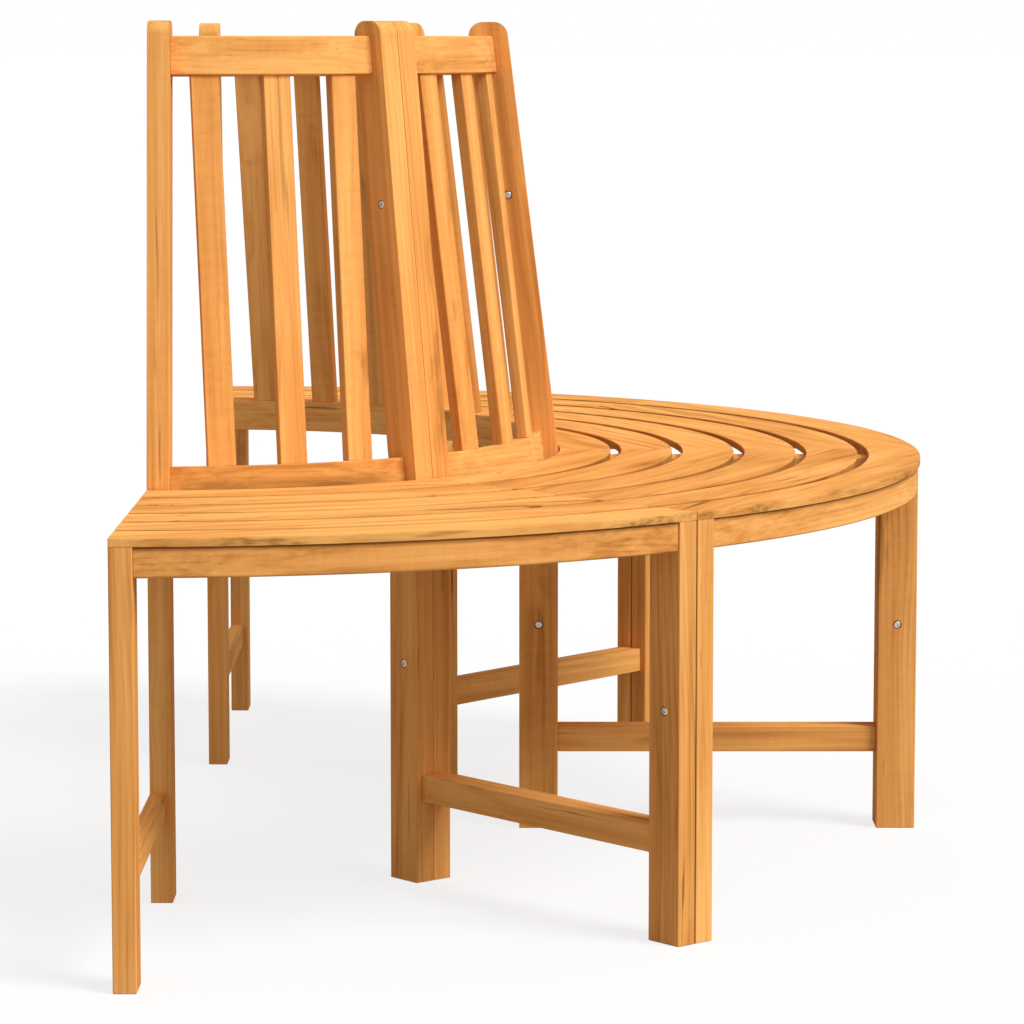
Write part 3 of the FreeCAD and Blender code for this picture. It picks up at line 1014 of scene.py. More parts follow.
def rounded_outline(corners: Sequence[tuple[float, float, float]], steps: int) -> list[Point]:
    """Round the corners of an outline.

    Args:
        corners: The corners in order, each with the radius of its arc.
        steps: Number of edges in each arc.

    Returns:
        The outline's points.
    """
    points = []
    for number, (x, y, radius) in enumerate(corners):
        corner = Vector((x, y))
        if radius == 0:
            points.append(tuple(corner))
            continue
        before = (Vector(corners[number - 1][:2]) - corner).normalized()
        after = (Vector(corners[(number + 1) % len(corners)][:2]) - corner).normalized()
        half = before.angle(after) / 2
        centre = corner + (before + after).normalized() * radius / math.sin(half)
        first = corner + before * radius / math.tan(half) - centre
        last = corner + after * radius / math.tan(half) - centre
        sweep = first.angle_signed(last)
        for step in range(steps + 1):
            spoke = first.copy()
            spoke.rotate(Matrix.Rotation(-sweep * step / steps, 2))
            points.append(tuple(centre + spoke))
    return points


# Length of the log that the boards are cut from, in metres
LOG_LENGTH = 40.0

# How far the depth of colour that is drawn for a board lies from the middle at most
TONE_SPREAD = 0.3

# Fixed depth of colour of some boards, from -1 to 1; the rest is drawn
BOARD_TONES = {
    "left_end_front_leg_outer": 0.3,
    "left_end_back_post_outer": 0.15,
    "left_end_back_post_inner": 0.0,
    "left_end_front_apron": 0.5,
    "left_end_bottom_rail": 1.0,
    "left_end_top_rail": -0.15,
    "left_middle_front_apron": 0.1,
    "left_end_back_slats": -0.1,
    "left_middle_back_post_outer": 0.0,
    "left_middle_back_post_inner": 0.3,
    "right_end_back_post_outer": -0.3,
}


@dataclass(frozen=True)
class WoodCut:
    """Where the boards of a node lay in their log.

    Attributes:
        node: The node.
        sawing: How the boards were sawn.
        seed: Seed of their own place and tone.
    """

    node: str
    sawing: Sawing
    seed: int

    @property
    def tones(self) -> tuple[float, float]:
        """Lowest and highest depth of colour, which are the same for a board with a fixed depth."""
        tone = BOARD_TONES.get(self.node)
        return (-TONE_SPREAD, TONE_SPREAD) if tone is None else (tone, tone)

    def offset(self) -> Vector:
        """Draw one board's place in the log.

        Returns:
            The place along, across and deep.
        """
        draw = random.Random(self.seed)
        (low_across, low_deep), (high_across, high_deep) = self.sawing.value
        along = draw.uniform(0.0, LOG_LENGTH)
        return Vector((along, draw.uniform(low_across, high_across), draw.uniform(low_deep, high_deep)))

    def depth(self) -> float:
        """Return how deep one board's colour is."""
        return random.Random(self.seed + 1).uniform(*self.tones)


def stamp(
    mesh: Mesh, places: Sequence[Vector], half: Vector, cut: WoodCut,
    soil: float, distances: Sequence[float],
) -> None:
    """Write each point's place in its board and in its log to the mesh.

    Args:
        mesh: The board's mesh.
        places: Each point's place across, deep and along, from the board's middle.
        half: Half the board's size across, deep and along.
        cut: Where the board lay in its log.
        soil: Share of the finish's painted shade that the board gets.
        distances: Each point's distance from the face that the painted shade lies beside.
    """
    count = len(places)
    offset = cut.offset()
    grain = [Vector((place.z, place.x, place.y)) + offset for place in places]
    for name, vectors in ((GRAIN, grain), (CUT, places), (HALF, [half] * count)):
        layer = mesh.attributes.new(name, "FLOAT_VECTOR", "POINT")
        layer.data.foreach_set("vector", [number for vector in vectors for number in vector])
    for name, numbers in ((TONE, [cut.depth()] * count), (PAINTED_SHADE, [soil] * count), (PAINTED_SHADE_DISTANCE, distances)):
        layer = mesh.attributes.new(name, "FLOAT", "POINT")
        layer.data.foreach_set("value", numbers)


def loft(name: str, rings: Sequence[Sequence[tuple[float, float, float]]]) -> Mesh:
    """Skin rings of points and close both ends.

    Args:
        name: Name of the mesh.
        rings: The rings, each with its points anticlockwise as seen from the last ring's side.

    Returns:
        The closed mesh, with its faces outwards.
    """
    shape = bmesh.new()
    loops = [[shape.verts.new(point) for point in ring] for ring in rings]
    for lower, upper in zip(loops, loops[1:]):
        for number in range(len(lower)):
            following = (number + 1) % len(lower)
            shape.faces.new((lower[number], lower[following], upper[following], upper[number]))
    shape.faces.new(list(reversed(loops[0])))
    shape.faces.new(loops[-1])
    mesh = bpy.data.meshes.new(name)
    shape.to_mesh(mesh)
    shape.free()
    return mesh


def cylinder_mesh(name: str, profile: Sequence[Point], sides: int) -> Mesh:
    """Turn a profile about Z.

    Args:
        name: Name of the mesh.
        profile: Radius and height of each ring, from the bottom up.
        sides: Number of sides.

    Returns:
        The closed mesh.
    """
    spokes = [2 * math.pi * side / sides for side in range(sides)]
    return loft(name, [
        [(radius * math.cos(spoke), radius * math.sin(spoke), height) for spoke in spokes]
        for radius, height in profile
    ])


def subtract(mesh: Mesh, cutters: Sequence[Mesh]) -> Mesh:
    """Cut meshes out of a mesh.

    Args:
        mesh: The mesh to cut.
        cutters: The meshes to cut out.

    Returns:
        What is left.
    """
    thing = link_mesh(mesh, "blank")
    tools = [link_mesh(cutter, "cutter") for cutter in cutters]
    for tool in tools:
        cutting = thing.modifiers.new("cutting", "BOOLEAN")
        cutting.operation = "DIFFERENCE"
        cutting.solver = "EXACT"
        cutting.object = tool
    result = evaluated_mesh(thing, mesh.name + "_cut")
    for tool in tools:
        bpy.data.objects.remove(tool)
    return result


@dataclass
class StraightBoard:
    """A straight board with an outline in its frame's XZ plane and its thickness along Y.

    Attributes:
        outline: The outline's points, in metres.
        inner_face: Y of the face at the joint line's side.
        outer_face: Y of the other face.
        place: Matrix from the board's frame to the bench's.
        cut: Where the board lay in its log.
        upright: True if the grain runs up, False if it runs out.
        drift: How far the board's middle has moved inwards at a height.
        edge: Radius of the eased edges.
        edge_steps: Number of faces in an eased edge.
        capped: True if the top end stays sharp, because the seat lies on it.
        soil: Share of the finish's painted shade that lies beside the joint line.
    """

    outline: list[Point]
    inner_face: float
    outer_face: float
    place: Matrix
    cut: WoodCut
    upright: bool = True
    drift: Callable[[float], float] = lambda height: 0.0
    edge: float = 0.0012
    edge_steps: int = 2
    capped: bool = False
    soil: float = 0.0

    def blank(self) -> Mesh:
        """Make the plain board with eased edges.

        Returns:
            The board's mesh, in its own frame.
        """
        shape = bmesh.new()
        face = shape.faces.new([shape.verts.new((x, self.inner_face, z)) for x, z in self.outline])
        pushed = bmesh.ops.extrude_face_region(shape, geom=[face])
        moved = [item for item in pushed["geom"] if isinstance(item, bmesh.types.BMVert)]
        bmesh.ops.translate(shape, verts=moved, vec=(0, self.outer_face - self.inner_face, 0))
        bmesh.ops.recalc_face_normals(shape, faces=shape.faces)
        top = max(z for x, z in self.outline) if self.capped else math.inf
        sharp = [
            edge for edge in shape.edges
            if edge.calc_face_angle(0) > SHARP_ANGLE and min(vertex.co.z for vertex in edge.verts) < top
        ]
        bmesh.ops.bevel(
            shape, geom=sharp, offset=self.edge, offset_type="OFFSET", segments=self.edge_steps,
            profile=0.5, affect="EDGES", clamp_overlap=True,
        )
        mesh = bpy.data.meshes.new("board")
        shape.to_mesh(mesh)
        shape.free()
        return mesh

    def board_place(self, point: Vector, middle: Vector) -> Vector:
        """Return a point's place across, deep and along the board."""
        across, deep, up = point.x + self.drift(point.z) - middle.x, point.y - middle.y, point.z - middle.z
        return Vector((across, deep, up)) if self.upright else Vector((up, deep, across))

    def mesh(self, cutters: Sequence[Mesh] = ()) -> Mesh:
        """Make the board, cut its recesses, note its wood and put it in place.

        Args:
            cutters: Shapes to cut out, in the board's frame.

        Returns:
            The board's mesh in the bench's frame.
        """
        mesh = self.blank()
        if cutters:
            mesh = subtract(mesh, cutters)
        xs = [x + self.drift(z) for x, z in self.outline]
        zs = [z for x, z in self.outline]
        middle = Vector((
            (min(xs) + max(xs)) / 2, (self.inner_face + self.outer_face) / 2, (min(zs) + max(zs)) / 2,
        ))
        size = Vector((max(xs) - min(xs), abs(self.outer_face - self.inner_face), max(zs) - min(zs)))
        half = size / 2 if self.upright else Vector((size.z, size.y, size.x)) / 2
        places = [self.board_place(vertex.co, middle) for vertex in mesh.vertices]
        distances = [abs(vertex.co.y - self.inner_face) for vertex in mesh.vertices]
        stamp(mesh, places, half, self.cut, self.soil, distances)
        mesh.transform(self.place)
        return mesh


@dataclass(frozen=True)
class UnitBar:
    """A bar one unit long along X, with rounded long edges, for a tree to bend into place.

    Attributes:
        width: Size along Y, in metres.
        thickness: Size along Z.
        edge: Radius of the long edges.
        steps: Number of lengths that the bar is divided into.
        ease: Share of the length over which the ends are eased.
        edge_steps: Number of faces in a rounded edge.
        end_pull: How far the ends are drawn in, as a share of the edge's radius.
    """

    width: float
    thickness: float
    edge: float
    steps: int = 44
    ease: float = 0.0012
    edge_steps: int = 2
    end_pull: float = 0.6

    def mesh(self) -> Mesh:
        """Make the bar.

        Returns:
            The closed mesh.
        """
        y, z = self.width / 2, self.thickness / 2
        corners = [(across, up, self.edge) for across, up in rectangle(-y, -z, y, z)]
        section = rounded_outline(corners, self.edge_steps)
        end = self.end_pull * self.edge
        stations = [(0.0, end), (self.ease, 0.0)]
        stations += [(step / self.steps, 0.0) for step in range(1, self.steps)]
        stations += [(1.0 - self.ease, 0.0), (1.0, end)]
        return loft("unit_bar", [
            [(x, across * (1 - pull / y), up * (1 - pull / z)) for across, up in section]
            for x, pull in stations
        ])


class GeometryTree(Wiring):
    """A geometry tree with named inputs."""

    def __init__(self, name: str, numbers: Sequence[str], counts: Sequence[str]) -> None:
        """Start a tree with a geometry input and a finish.

        Args:
            name: Name of the tree.
            numbers: Names of its inputs that are numbers.
            counts: Names of its inputs that are whole numbers.
        """
        tree = bpy.data.node_groups.new(name, "GeometryNodeTree")
        super().__init__(tree)
        self.sockets: dict[str, str] = {}
        self.declare("Geometry", "NodeSocketGeometry")
        for label in numbers:
            self.declare(label, "NodeSocketFloat")
        for label in counts:
            self.declare(label, "NodeSocketInt")
        self.declare("Finish", "NodeSocketMaterial")
        tree.interface.new_socket("Geometry", in_out="OUTPUT", socket_type="NodeSocketGeometry")
        self.given = tree.nodes.new("NodeGroupInput").outputs

    def declare(self, label: str, kind: str) -> None:
        """Add a named input to the tree."""
        item = self.tree.interface.new_socket(label, in_out="INPUT", socket_type=kind)
        self.sockets[label] = item.identifier

    def store(self, geometry: object, name: str, value: object, kind: str = "FLOAT") -> Socket:
        """Store a value on every point."""
        inputs = {"Geometry": geometry, "Name": name, "Value": value}
        return self.out("GeometryNodeStoreNamedAttribute", inputs, data_type=kind, domain="POINT")

    def number(self) -> Socket:
        """Return the number of the board that a point belongs to."""
        return self.out("GeometryNodeInputNamedAttribute", {"Name": BOARD_NUMBER}, data_type="INT")

    def copies(self) -> Socket:
        """Copy the given bar once for each board.

        Returns:
            The copies as real geometry, with each board's number stored.
        """
        inputs = {"Count": self.given["Boards"], "Offset": (0.0, 0.0, 0.0)}
        line = self.out("GeometryNodeMeshLine", inputs, mode="OFFSET")
        numbered = self.store(line, BOARD_NUMBER, self.out("GeometryNodeInputIndex"), "INT")
        inputs = {"Points": numbered, "Instance": self.given["Geometry"]}
        return self.out("GeometryNodeRealizeInstances", {
            "Geometry": self.out("GeometryNodeInstanceOnPoints", inputs),
        })

    def draw(self, low: object, high: object, shift: int, kind: str = "FLOAT") -> Socket:
        """Draw a random value for each board, the same on every run.

        Args:
            low: Lowest value.
            high: Highest value.
            shift: What the draw adds to the seed.
            kind: Type of the value.

        Returns:
            The value.
        """
        seed = self.total(self.given["Seed"], float(shift))
        inputs = {"Min": low, "Max": high, "ID": self.number(), "Seed": seed}
        return self.out("FunctionNodeRandomValue", inputs, data_type=kind)

    def note_wood(self, geometry: object, grain: object, place: object, length: object) -> Socket:
        """Store what the wood's material reads of each board.

        Args:
            geometry: The boards.
            grain: Each point's place along, across and deep.
            place: Each point's place across, deep and along.
            length: The board's length.

        Returns:
            The boards with their attributes.
        """
        given = self.given
        low = self.combine(0.0, given["Log Across Low"], given["Log Deep Low"])
        high = self.combine(LOG_LENGTH, given["Log Across High"], given["Log Deep High"])
        offset = self.draw(low, high, 0, "FLOAT_VECTOR")
        half = self.combine(given["Half Width"], given["Half Thickness"], self.product(length, 0.5))
        geometry = self.store(geometry, GRAIN, self.vector("ADD", grain, offset), "FLOAT_VECTOR")
        geometry = self.store(geometry, CUT, place, "FLOAT_VECTOR")
        geometry = self.store(geometry, HALF, half, "FLOAT_VECTOR")
        return self.store(geometry, TONE, self.draw(given["Tone Low"], given["Tone High"], 1))

    def close(self, geometry: object) -> None:
        """Set the finish and end the tree."""
        inputs = {"Geometry": geometry, "Material": self.given["Finish"]}
        self.add("NodeGroupOutput", {"Geometry": self.out("GeometryNodeSetMaterial", inputs)})

    def apply(self, mesh: Mesh, name: str, values: dict[str, object]) -> Mesh:
        """Run the tree on a mesh.

        Args:
            mesh: The mesh that the tree repeats.
            name: Name of the result.
            values: Values of the tree's inputs, by name.

        Returns:
            The result as a plain mesh.
        """
        thing = link_mesh(mesh, name + "_pattern")
        modifier = thing.modifiers.new(self.tree.name, "NODES")
        modifier.node_group = self.tree
        for label, value in values.items():
            modifier[self.sockets[label]] = value
        return evaluated_mesh(thing, name)


WOOD_INPUTS = (
    "Half Width", "Half Thickness", "Log Across Low", "Log Deep Low", "Log Across High", "Log Deep High",
    "Tone Low", "Tone High",
)


def wood_values(width: float, thickness: float, cut: WoodCut) -> dict[str, object]:
    """Work out the tree inputs that say how boards were sawn.

    Args:
        width: Width of a board.
        thickness: Thickness of a board.
        cut: Where the boards lay in their log.

    Returns:
        The values by the inputs' names.
    """
    low, high = cut.sawing.value
    numbers = (width / 2, thickness / 2, *low, *high, *cut.tones)
    return {**dict(zip(WOOD_INPUTS, numbers)), "Seed": cut.seed}


class ArcBoards(GeometryTree):
    """Concentric curved boards between two joint lines, each end parallel to its line."""

    def __init__(self) -> None:
        """Build the tree."""
        super().__init__(
            "arc_boards",
            ("First Radius", "Pitch", "Level", "Lean", "Start Angle", "Start Side", "End Angle", "End Side",
             "Soil", "Rim Soil", "Rim Stain", *WOOD_INPUTS),
            ("Boards", "Seed"),
        )
        given = self.given
        share, out, up = self.split(self.out("GeometryNodeInputPosition"))
        middle = self.math("MULTIPLY_ADD", self.number(), given["Pitch"], given["First Radius"])
        lean_cos = self.math("COSINE", given["Lean"])
        lean_sin = self.math("SINE", given["Lean"])
        radius = self.minus(self.math("MULTIPLY_ADD", out, lean_cos, middle), self.product(up, lean_sin))
        height = self.total(given["Level"], self.product(out, lean_sin), self.product(up, lean_cos))
        start, end = self.end_angle("Start", radius), self.end_angle("End", radius)
        sweep = self.minus(end, start)
        angle = self.math("MULTIPLY_ADD", share, sweep, start)
        place = self.combine(
            self.product(radius, self.math("SINE", angle)),
            self.product(radius, self.product(self.math("COSINE", angle), -1.0)),
            height,
        )
        facing = self.product(self.total(given["Start Angle"], given["End Angle"]), -0.5)
        chord_along, chord_back, chord_up = self.split(self.turned(place, facing, "Z"))
        across = self.math("MULTIPLY_ADD", chord_back, -1.0, self.product(middle, -1.0))
        grain = self.combine(chord_along, across, self.minus(chord_up, given["Level"]))
        length = self.product(sweep, middle)
        along = self.swing(share, length)
        geometry = self.note_wood(self.copies(), grain, self.combine(out, up, along), length)
        geometry = self.note_soil(geometry, out, up)
        bent = self.out("GeometryNodeSetPosition", {"Geometry": geometry, "Position": place})
        # The bend mirrors the bars, so their faces are turned outwards again
        self.close(self.out("GeometryNodeFlipFaces", {"Mesh": bent}))

    def end_angle(self, end: str, radius: Socket) -> Socket:
        """Return the angle in plan at which a circle meets the plane of the boards' start or end."""
        aside = self.math("ARCSINE", self.math("DIVIDE", self.given[end + " Side"], radius))
        return self.total(self.given[end + " Angle"], aside)

    def note_soil(self, geometry: object, out: object, up: object) -> Socket:
        """Store how much painted shade and stain each point's side of its board gets, and how far below the
        top it lies.

        Args:
            geometry: The boards.
            out: How far out from the board's middle a point lies.
            up: How far above it.

        Returns:
            The boards with their attributes.
        """
        given = self.given
        # The outer face of the last board takes the rim's share of the painted shade, and the rim stain
        last = self.math("COMPARE", self.number(), self.minus(given["Boards"], 1.0), 0.5)
        rim = self.product(last, self.math("GREATER_THAN", out, 0.0))
        rim_shade_change = self.product(rim, self.minus(given["Rim Soil"], given["Soil"]))
        geometry = self.store(geometry, PAINTED_SHADE, self.total(given["Soil"], rim_shade_change))
        geometry = self.store(geometry, RIM_STAIN, self.product(rim, given["Rim Stain"]))
        return self.store(geometry, PAINTED_SHADE_DISTANCE, self.minus(given["Half Thickness"], up))


class UprightSlats(GeometryTree):
    """Upright slats side by side in a leaning back panel."""

    def __init__(self) -> None:
        """Build the tree."""
        super().__init__(
            "upright_slats",
            ("Radius", "Pitch", "Level", "Lean", "Facing", "Length", "Soil", *WOOD_INPUTS),
            ("Boards", "Seed"),
        )
        given = self.given
        share, out, side = self.split(self.out("GeometryNodeInputPosition"))
        along = self.swing(share, given["Length"])
        centre = self.product(self.minus(given["Boards"], 1.0), 0.5)
        aside = self.product(self.minus(self.number(), centre), given["Pitch"])
        twist = self.math("ARCSINE", self.math("DIVIDE", aside, given["Radius"]))
        turned = self.turned(self.combine(out, side, along), twist, "Z")
        leaning = self.turned(turned, self.product(given["Lean"], -1.0), "Y")
        outwards = self.math(
            "SQRT", self.minus(self.math("POWER", given["Radius"], 2.0), self.math("POWER", aside, 2.0)),
        )
        seated = self.vector("ADD", leaning, self.combine(outwards, aside, given["Level"]))
        place = self.turned(seated, self.minus(given["Facing"], math.pi / 2), "Z")
        geometry = self.note_wood(
            self.copies(), self.combine(along, side, out), self.combine(side, out, along), given["Length"],
        )
        # Painted shade darkens each slat towards its long sides
        margin = self.minus(given["Half Width"], self.math("ABSOLUTE", side))
        geometry = self.store(self.store(geometry, PAINTED_SHADE, given["Soil"]), PAINTED_SHADE_DISTANCE, margin)
        self.close(self.out("GeometryNodeSetPosition", {"Geometry": geometry, "Position": place}))


class FastenerHeads(GeometryTree):
    """The same fastener at every bolt place, each turned by chance about its own axis."""

    def __init__(self, pattern: bpy.types.Object) -> None:
        """Build the tree.

        Args:
            pattern: The fastener that the tree repeats.
        """
        super().__init__("fasteners", (), ("Seed",))
        turn = self.out("GeometryNodeInputNamedAttribute", {"Name": TURN}, data_type="FLOAT_VECTOR")
        placed = self.out("GeometryNodeInstanceOnPoints", {
            "Points": self.given["Geometry"],
            "Instance": self.add("GeometryNodeObjectInfo", {"Object": pattern}).outputs["Geometry"],
            "Rotation": self.out("FunctionNodeEulerToRotation", {"Euler": turn}),
        })
        chance = self.out("FunctionNodeRandomValue", {
            "Min": 0.0, "Max": math.pi, "ID": self.out("GeometryNodeInputIndex"), "Seed": self.given["Seed"],
        }, data_type="FLOAT")
        spun = self.out("GeometryNodeRotateInstances", {
            "Instances": placed, "Rotation": self.combine(0.0, 0.0, chance), "Local Space": True,
        })
        self.close(self.out("GeometryNodeRealizeInstances", {"Geometry": spun}))


@dataclass
class SideFrame:
    """The leg, post, stretcher and side rail at one end of a segment.

    Attributes:
        plan: Sizes of the bench.
        segment: The segment.
        finish: Material of the boards.
        joint: The joint line that the frame stands at.
        side: 1 if the frame is on the next segment's side of the line, or -1.
        end: Which end of the segment it is, as its nodes are named.
        bolted: True if the frame is bolted to its neighbour.
        seed: Seed of the frame's wood.
        leg_soil: Share of the painted shade beside the joint line that lies on a bolted leg.
        post_edge: Radius of the post's eased edges.
        arc_steps: Number of edges in each arc of the post's outline.
        recess_sides: Number of sides of a counterbore.
        recess_over: How far the cutter of a counterbore stands out of the board.
    """

    plan: BenchPlan
    segment: Segment
    finish: Material
    joint: JointLine
    side: int
    end: str
    bolted: bool
    seed: int
    leg_soil: float = 1.0
    post_edge: float = 0.0004
    arc_steps: int = 8
    recess_sides: int = 24
    recess_over: float = 0.001

    def faces(self, thickness: float) -> tuple[float, float]:
        """Return Y of a board's two faces, from the joint line outwards."""
        near = self.side * self.plan.joint_gap / 2
        return near, near + self.side * thickness

    def node(self, name: str) -> str:
        """Return the node of one of the frame's boards."""
        return self.segment.node(f"{name}_{self.end}")

    def board(
        self, name: str, outline: list[Point], thickness: float, sawing: Sawing, step: SeedStep,
        **more: object,
    ) -> StraightBoard:
        """Describe a board of this frame.

        Args:
            name: Name of the board without its segment and end.
            outline: The outline's points.
            thickness: Thickness of the board.
            sawing: How it was sawn.
            step: What it adds to the seed of the wood.
            **more: Further fields of the board.

        Returns:
            The board.
        """
        near, far = self.faces(thickness)
        cut = WoodCut(self.node(name), sawing, self.seed + step)
        return StraightBoard(outline, near, far, self.joint.matrix(), cut, **more)

    def recess(self, out: float, height: float) -> Mesh:
        """Make the cutter of a counterbore in a board's outer face.

        Args:
            out: Distance out of the counterbore's middle.
            height: Height of its middle.

        Returns:
            The cutter in the board's frame.
        """
        plan = self.plan
        profile = [
            (plan.counterbore_radius, -plan.counterbore_depth), (plan.counterbore_radius, self.recess_over),
        ]
        mesh = cylinder_mesh("recess", profile, self.recess_sides)
        turn = Matrix.Rotation(math.radians(-90 * self.side), 4, "X")
        mesh.transform(Matrix.Translation((out, self.faces(plan.leg_thickness)[1], height)) @ turn)
        return mesh

    def recesses(self, places: Sequence[Point]) -> list[Mesh]:
        """Return the cutters of the counterbores at some bolt places, of which an end frame has none."""
        return [self.recess(out, height) for out, height in places] if self.bolted else []

    def leg(self) -> Mesh:
        """Make the straight front leg.

        Returns:
            The leg's mesh.
        """
        plan = self.plan
        # A bolted leg gets painted shade beside the joint line, where it meets its neighbour
        leg = self.board(
            "front_leg", rectangle(plan.leg_inner, 0.0, plan.radius, plan.leg_top), plan.leg_thickness,
            Sawing.RIFT, SeedStep.FRONT_LEG, capped=True, soil=self.leg_soil if self.bolted else 0.0,
        )
        return leg.mesh(self.recesses(plan.bolt_places[:1]))

    def post(self) -> Mesh:
        """Make the back post, which leans from the seat up and has a round top.

        Returns:
            The post's mesh.
        """
        plan = self.plan
        foot = plan.post_front - plan.leg_depth
        back = plan.post_front - plan.leg_depth / math.cos(plan.lean)
        shift = plan.leaning(plan.post_height)
        outline = rounded_outline([
            (foot, 0.0, 0.0),
            (plan.post_front, 0.0, 0.0),
            (plan.post_front, plan.lean_start, plan.bend_radius),
            (plan.post_front - shift, plan.post_height, plan.top_radius),
            (back - shift, plan.post_height, plan.top_radius),
            (foot, plan.lean_start - (foot - back) / math.tan(plan.lean), plan.bend_radius),
        ], self.arc_steps)
        post = self.board(
            "back_post", outline, plan.leg_thickness, Sawing.FLAT, SeedStep.BACK_POST,
            drift=plan.leaning, edge=self.post_edge,
        )
        return post.mesh(self.recesses(plan.bolt_places[1:]))

    def crosspiece(self, name: str, bottom: float, top: float, thickness: float, step: SeedStep) -> Mesh:
        """Make a radial board between the post and the leg."""
        outline = rectangle(self.plan.post_front, bottom, self.plan.leg_inner, top)
        return self.board(name, outline, thickness, Sawing.FLAT, step, upright=False).mesh()

    def build(self) -> None:
        """Make and dress the frame's four boards."""
        plan = self.plan
        stretcher = self.crosspiece(
            "stretcher", plan.stretcher_bottom, plan.stretcher_top, plan.stretcher_thickness,
            SeedStep.STRETCHER,
        )
        side_rail = self.crosspiece(
            "side_rail", plan.side_rail_bottom, plan.leg_top, plan.side_rail_thickness, SeedStep.SIDE_RAIL,
        )
        for name, mesh in (
            ("front_leg", self.leg()),
            ("back_post", self.post()),
            ("stretcher", stretcher),
            ("side_rail", side_rail),
        ):
            settle(mesh, self.node(name), Slot.FRAME_WOOD, self.finish)


@dataclass
class Panel:
    """The boards of one segment that lie between its two side frames.

    Attributes:
        plan: Sizes of the bench.
        segment: The segment.
        finishes: The materials of the bench.
        arcs: Tree that bends bars into arcs.
        seed: Seed of the segment's wood.
    """

    plan: BenchPlan
    segment: Segment
    finishes: Finishes
    arcs: ArcBoards
    seed: int

    def cut(self, name: str, sawing: Sawing, step: SeedStep) -> WoodCut:
        """Return where a board of the segment lay in its log."""
        return WoodCut(self.segment.node(name), sawing, self.seed + step)

    def arc(
        self, bar: UnitBar, inset: float, cut: WoodCut, finish: Material, sizes: dict[str, object],
    ) -> Mesh:
        """Bend bars into arcs between the segment's joint lines.

        Args:
            bar: The bar.
            inset: Distance from the joint lines to the arcs' ends.
            cut: Where the boards lay in their log.
            finish: Their material.
            sizes: Further inputs of the tree.

        Returns:
            The boards' mesh.
        """
        start, end = self.segment.start, self.segment.end
        return self.arcs.apply(bar.mesh(), cut.node, {
            "Boards": 1, "Pitch": 0.0, "Lean": 0.0, "Soil": 0.0, "Rim Soil": 0.0, "Rim Stain": 0.0,
            "Start Angle": start.angle,
            "Start Side": start.offset + inset,
            "End Angle": end.angle,
            "End Side": end.offset - inset,
            "Finish": finish,
            **wood_values(bar.width, bar.thickness, cut),
            **sizes,
        })


@dataclass
class SeatPanel(Panel):
    """The slats, batten and front apron of one segment's seat.

    Attributes:
        rim_soil: Share of the painted shade that lies on the seat's outer rim.
        rim_stain: How strongly that rim is stained.
        slat_edge: Radius of the slats' long edges.
        apron_edge: Radius of the apron's long edges.
        batten_thickness: Thickness of the batten.
        batten_gap: Distance from the batten's outer end to the apron.
    """

    rim_soil: float = 0.22
    rim_stain: float = 0.65
    slat_edge: float = 0.0005
    apron_edge: float = 0.0022
    batten_thickness: float = 0.012
    batten_gap: float = 0.0003

    def slats(self) -> Mesh:
        """Make the concentric seat slats.

        Returns:
            The slats' mesh.
        """
        plan = self.plan
        thickness = plan.seat_height - plan.leg_top
        bar = UnitBar(plan.slat_width, thickness, self.slat_edge)
        cut = self.cut("seat_slats", Sawing.FLAT, SeedStep.SEAT_SLATS)
        return self.arc(bar, plan.joint_gap / 2, cut, self.finishes.seat_wood, {
            # Painted shade down the walls of the spaces between slats, with less on the outer rim
            "Soil": 1.0,
            "Rim Soil": self.rim_soil,
            "Rim Stain": self.rim_stain,
            "Boards": plan.slat_count,
            "First Radius": plan.slat_inner_radius + plan.slat_width / 2,
            "Pitch": plan.slat_width + plan.slat_gap,
            "Level": plan.leg_top + thickness / 2,
        })

    def apron(self) -> Mesh:
        """Make the curved board under the seat's edge.

        Returns:
            The apron's mesh.
        """
        plan = self.plan
        height = plan.leg_top - plan.apron_bottom
        bar = UnitBar(plan.apron_thickness, height, self.apron_edge)
        cut = self.cut("front_apron", Sawing.QUARTER, SeedStep.FRONT_APRON)
        return self.arc(bar, plan.inset, cut, self.finishes.apron_wood, {
            # Painted shadow under the seat's front edge, along the top of the apron
            "Soil": 1.0,
            "Rim Soil": 1.0,
            "First Radius": plan.radius - plan.apron_setback - plan.apron_thickness / 2,
            "Level": plan.leg_top - height / 2,
        })

    def batten(self) -> Mesh:
        """Make the flat board under the middle of the slats.

        Returns:
            The batten's mesh.
        """
        plan = self.plan
        half = plan.batten_width / 2
        inner = plan.slat_inner_radius + plan.batten_setback
        outline = rectangle(
            inner, plan.leg_top - self.batten_thickness, plan.apron_inner - self.batten_gap, plan.leg_top,
        )
        cut = self.cut("seat_batten", Sawing.RIFT, SeedStep.SEAT_BATTEN)
        place = JointLine(self.segment.middle_angle(plan, plan.radius), 0.0).matrix()
        return StraightBoard(outline, -half, half, place, cut, upright=False).mesh()

    def build(self) -> None:
        """Make and dress the seat's pieces."""
        node, finishes = self.segment.node, self.finishes
        settle(self.slats(), node("seat_slats"), Slot.SLAT_WOOD, finishes.seat_wood)
        settle(self.apron(), node("front_apron"), Slot.FRAME_WOOD, finishes.apron_wood)
        settle(self.batten(), node("seat_batten"), Slot.FRAME_WOOD, finishes.frame_wood)


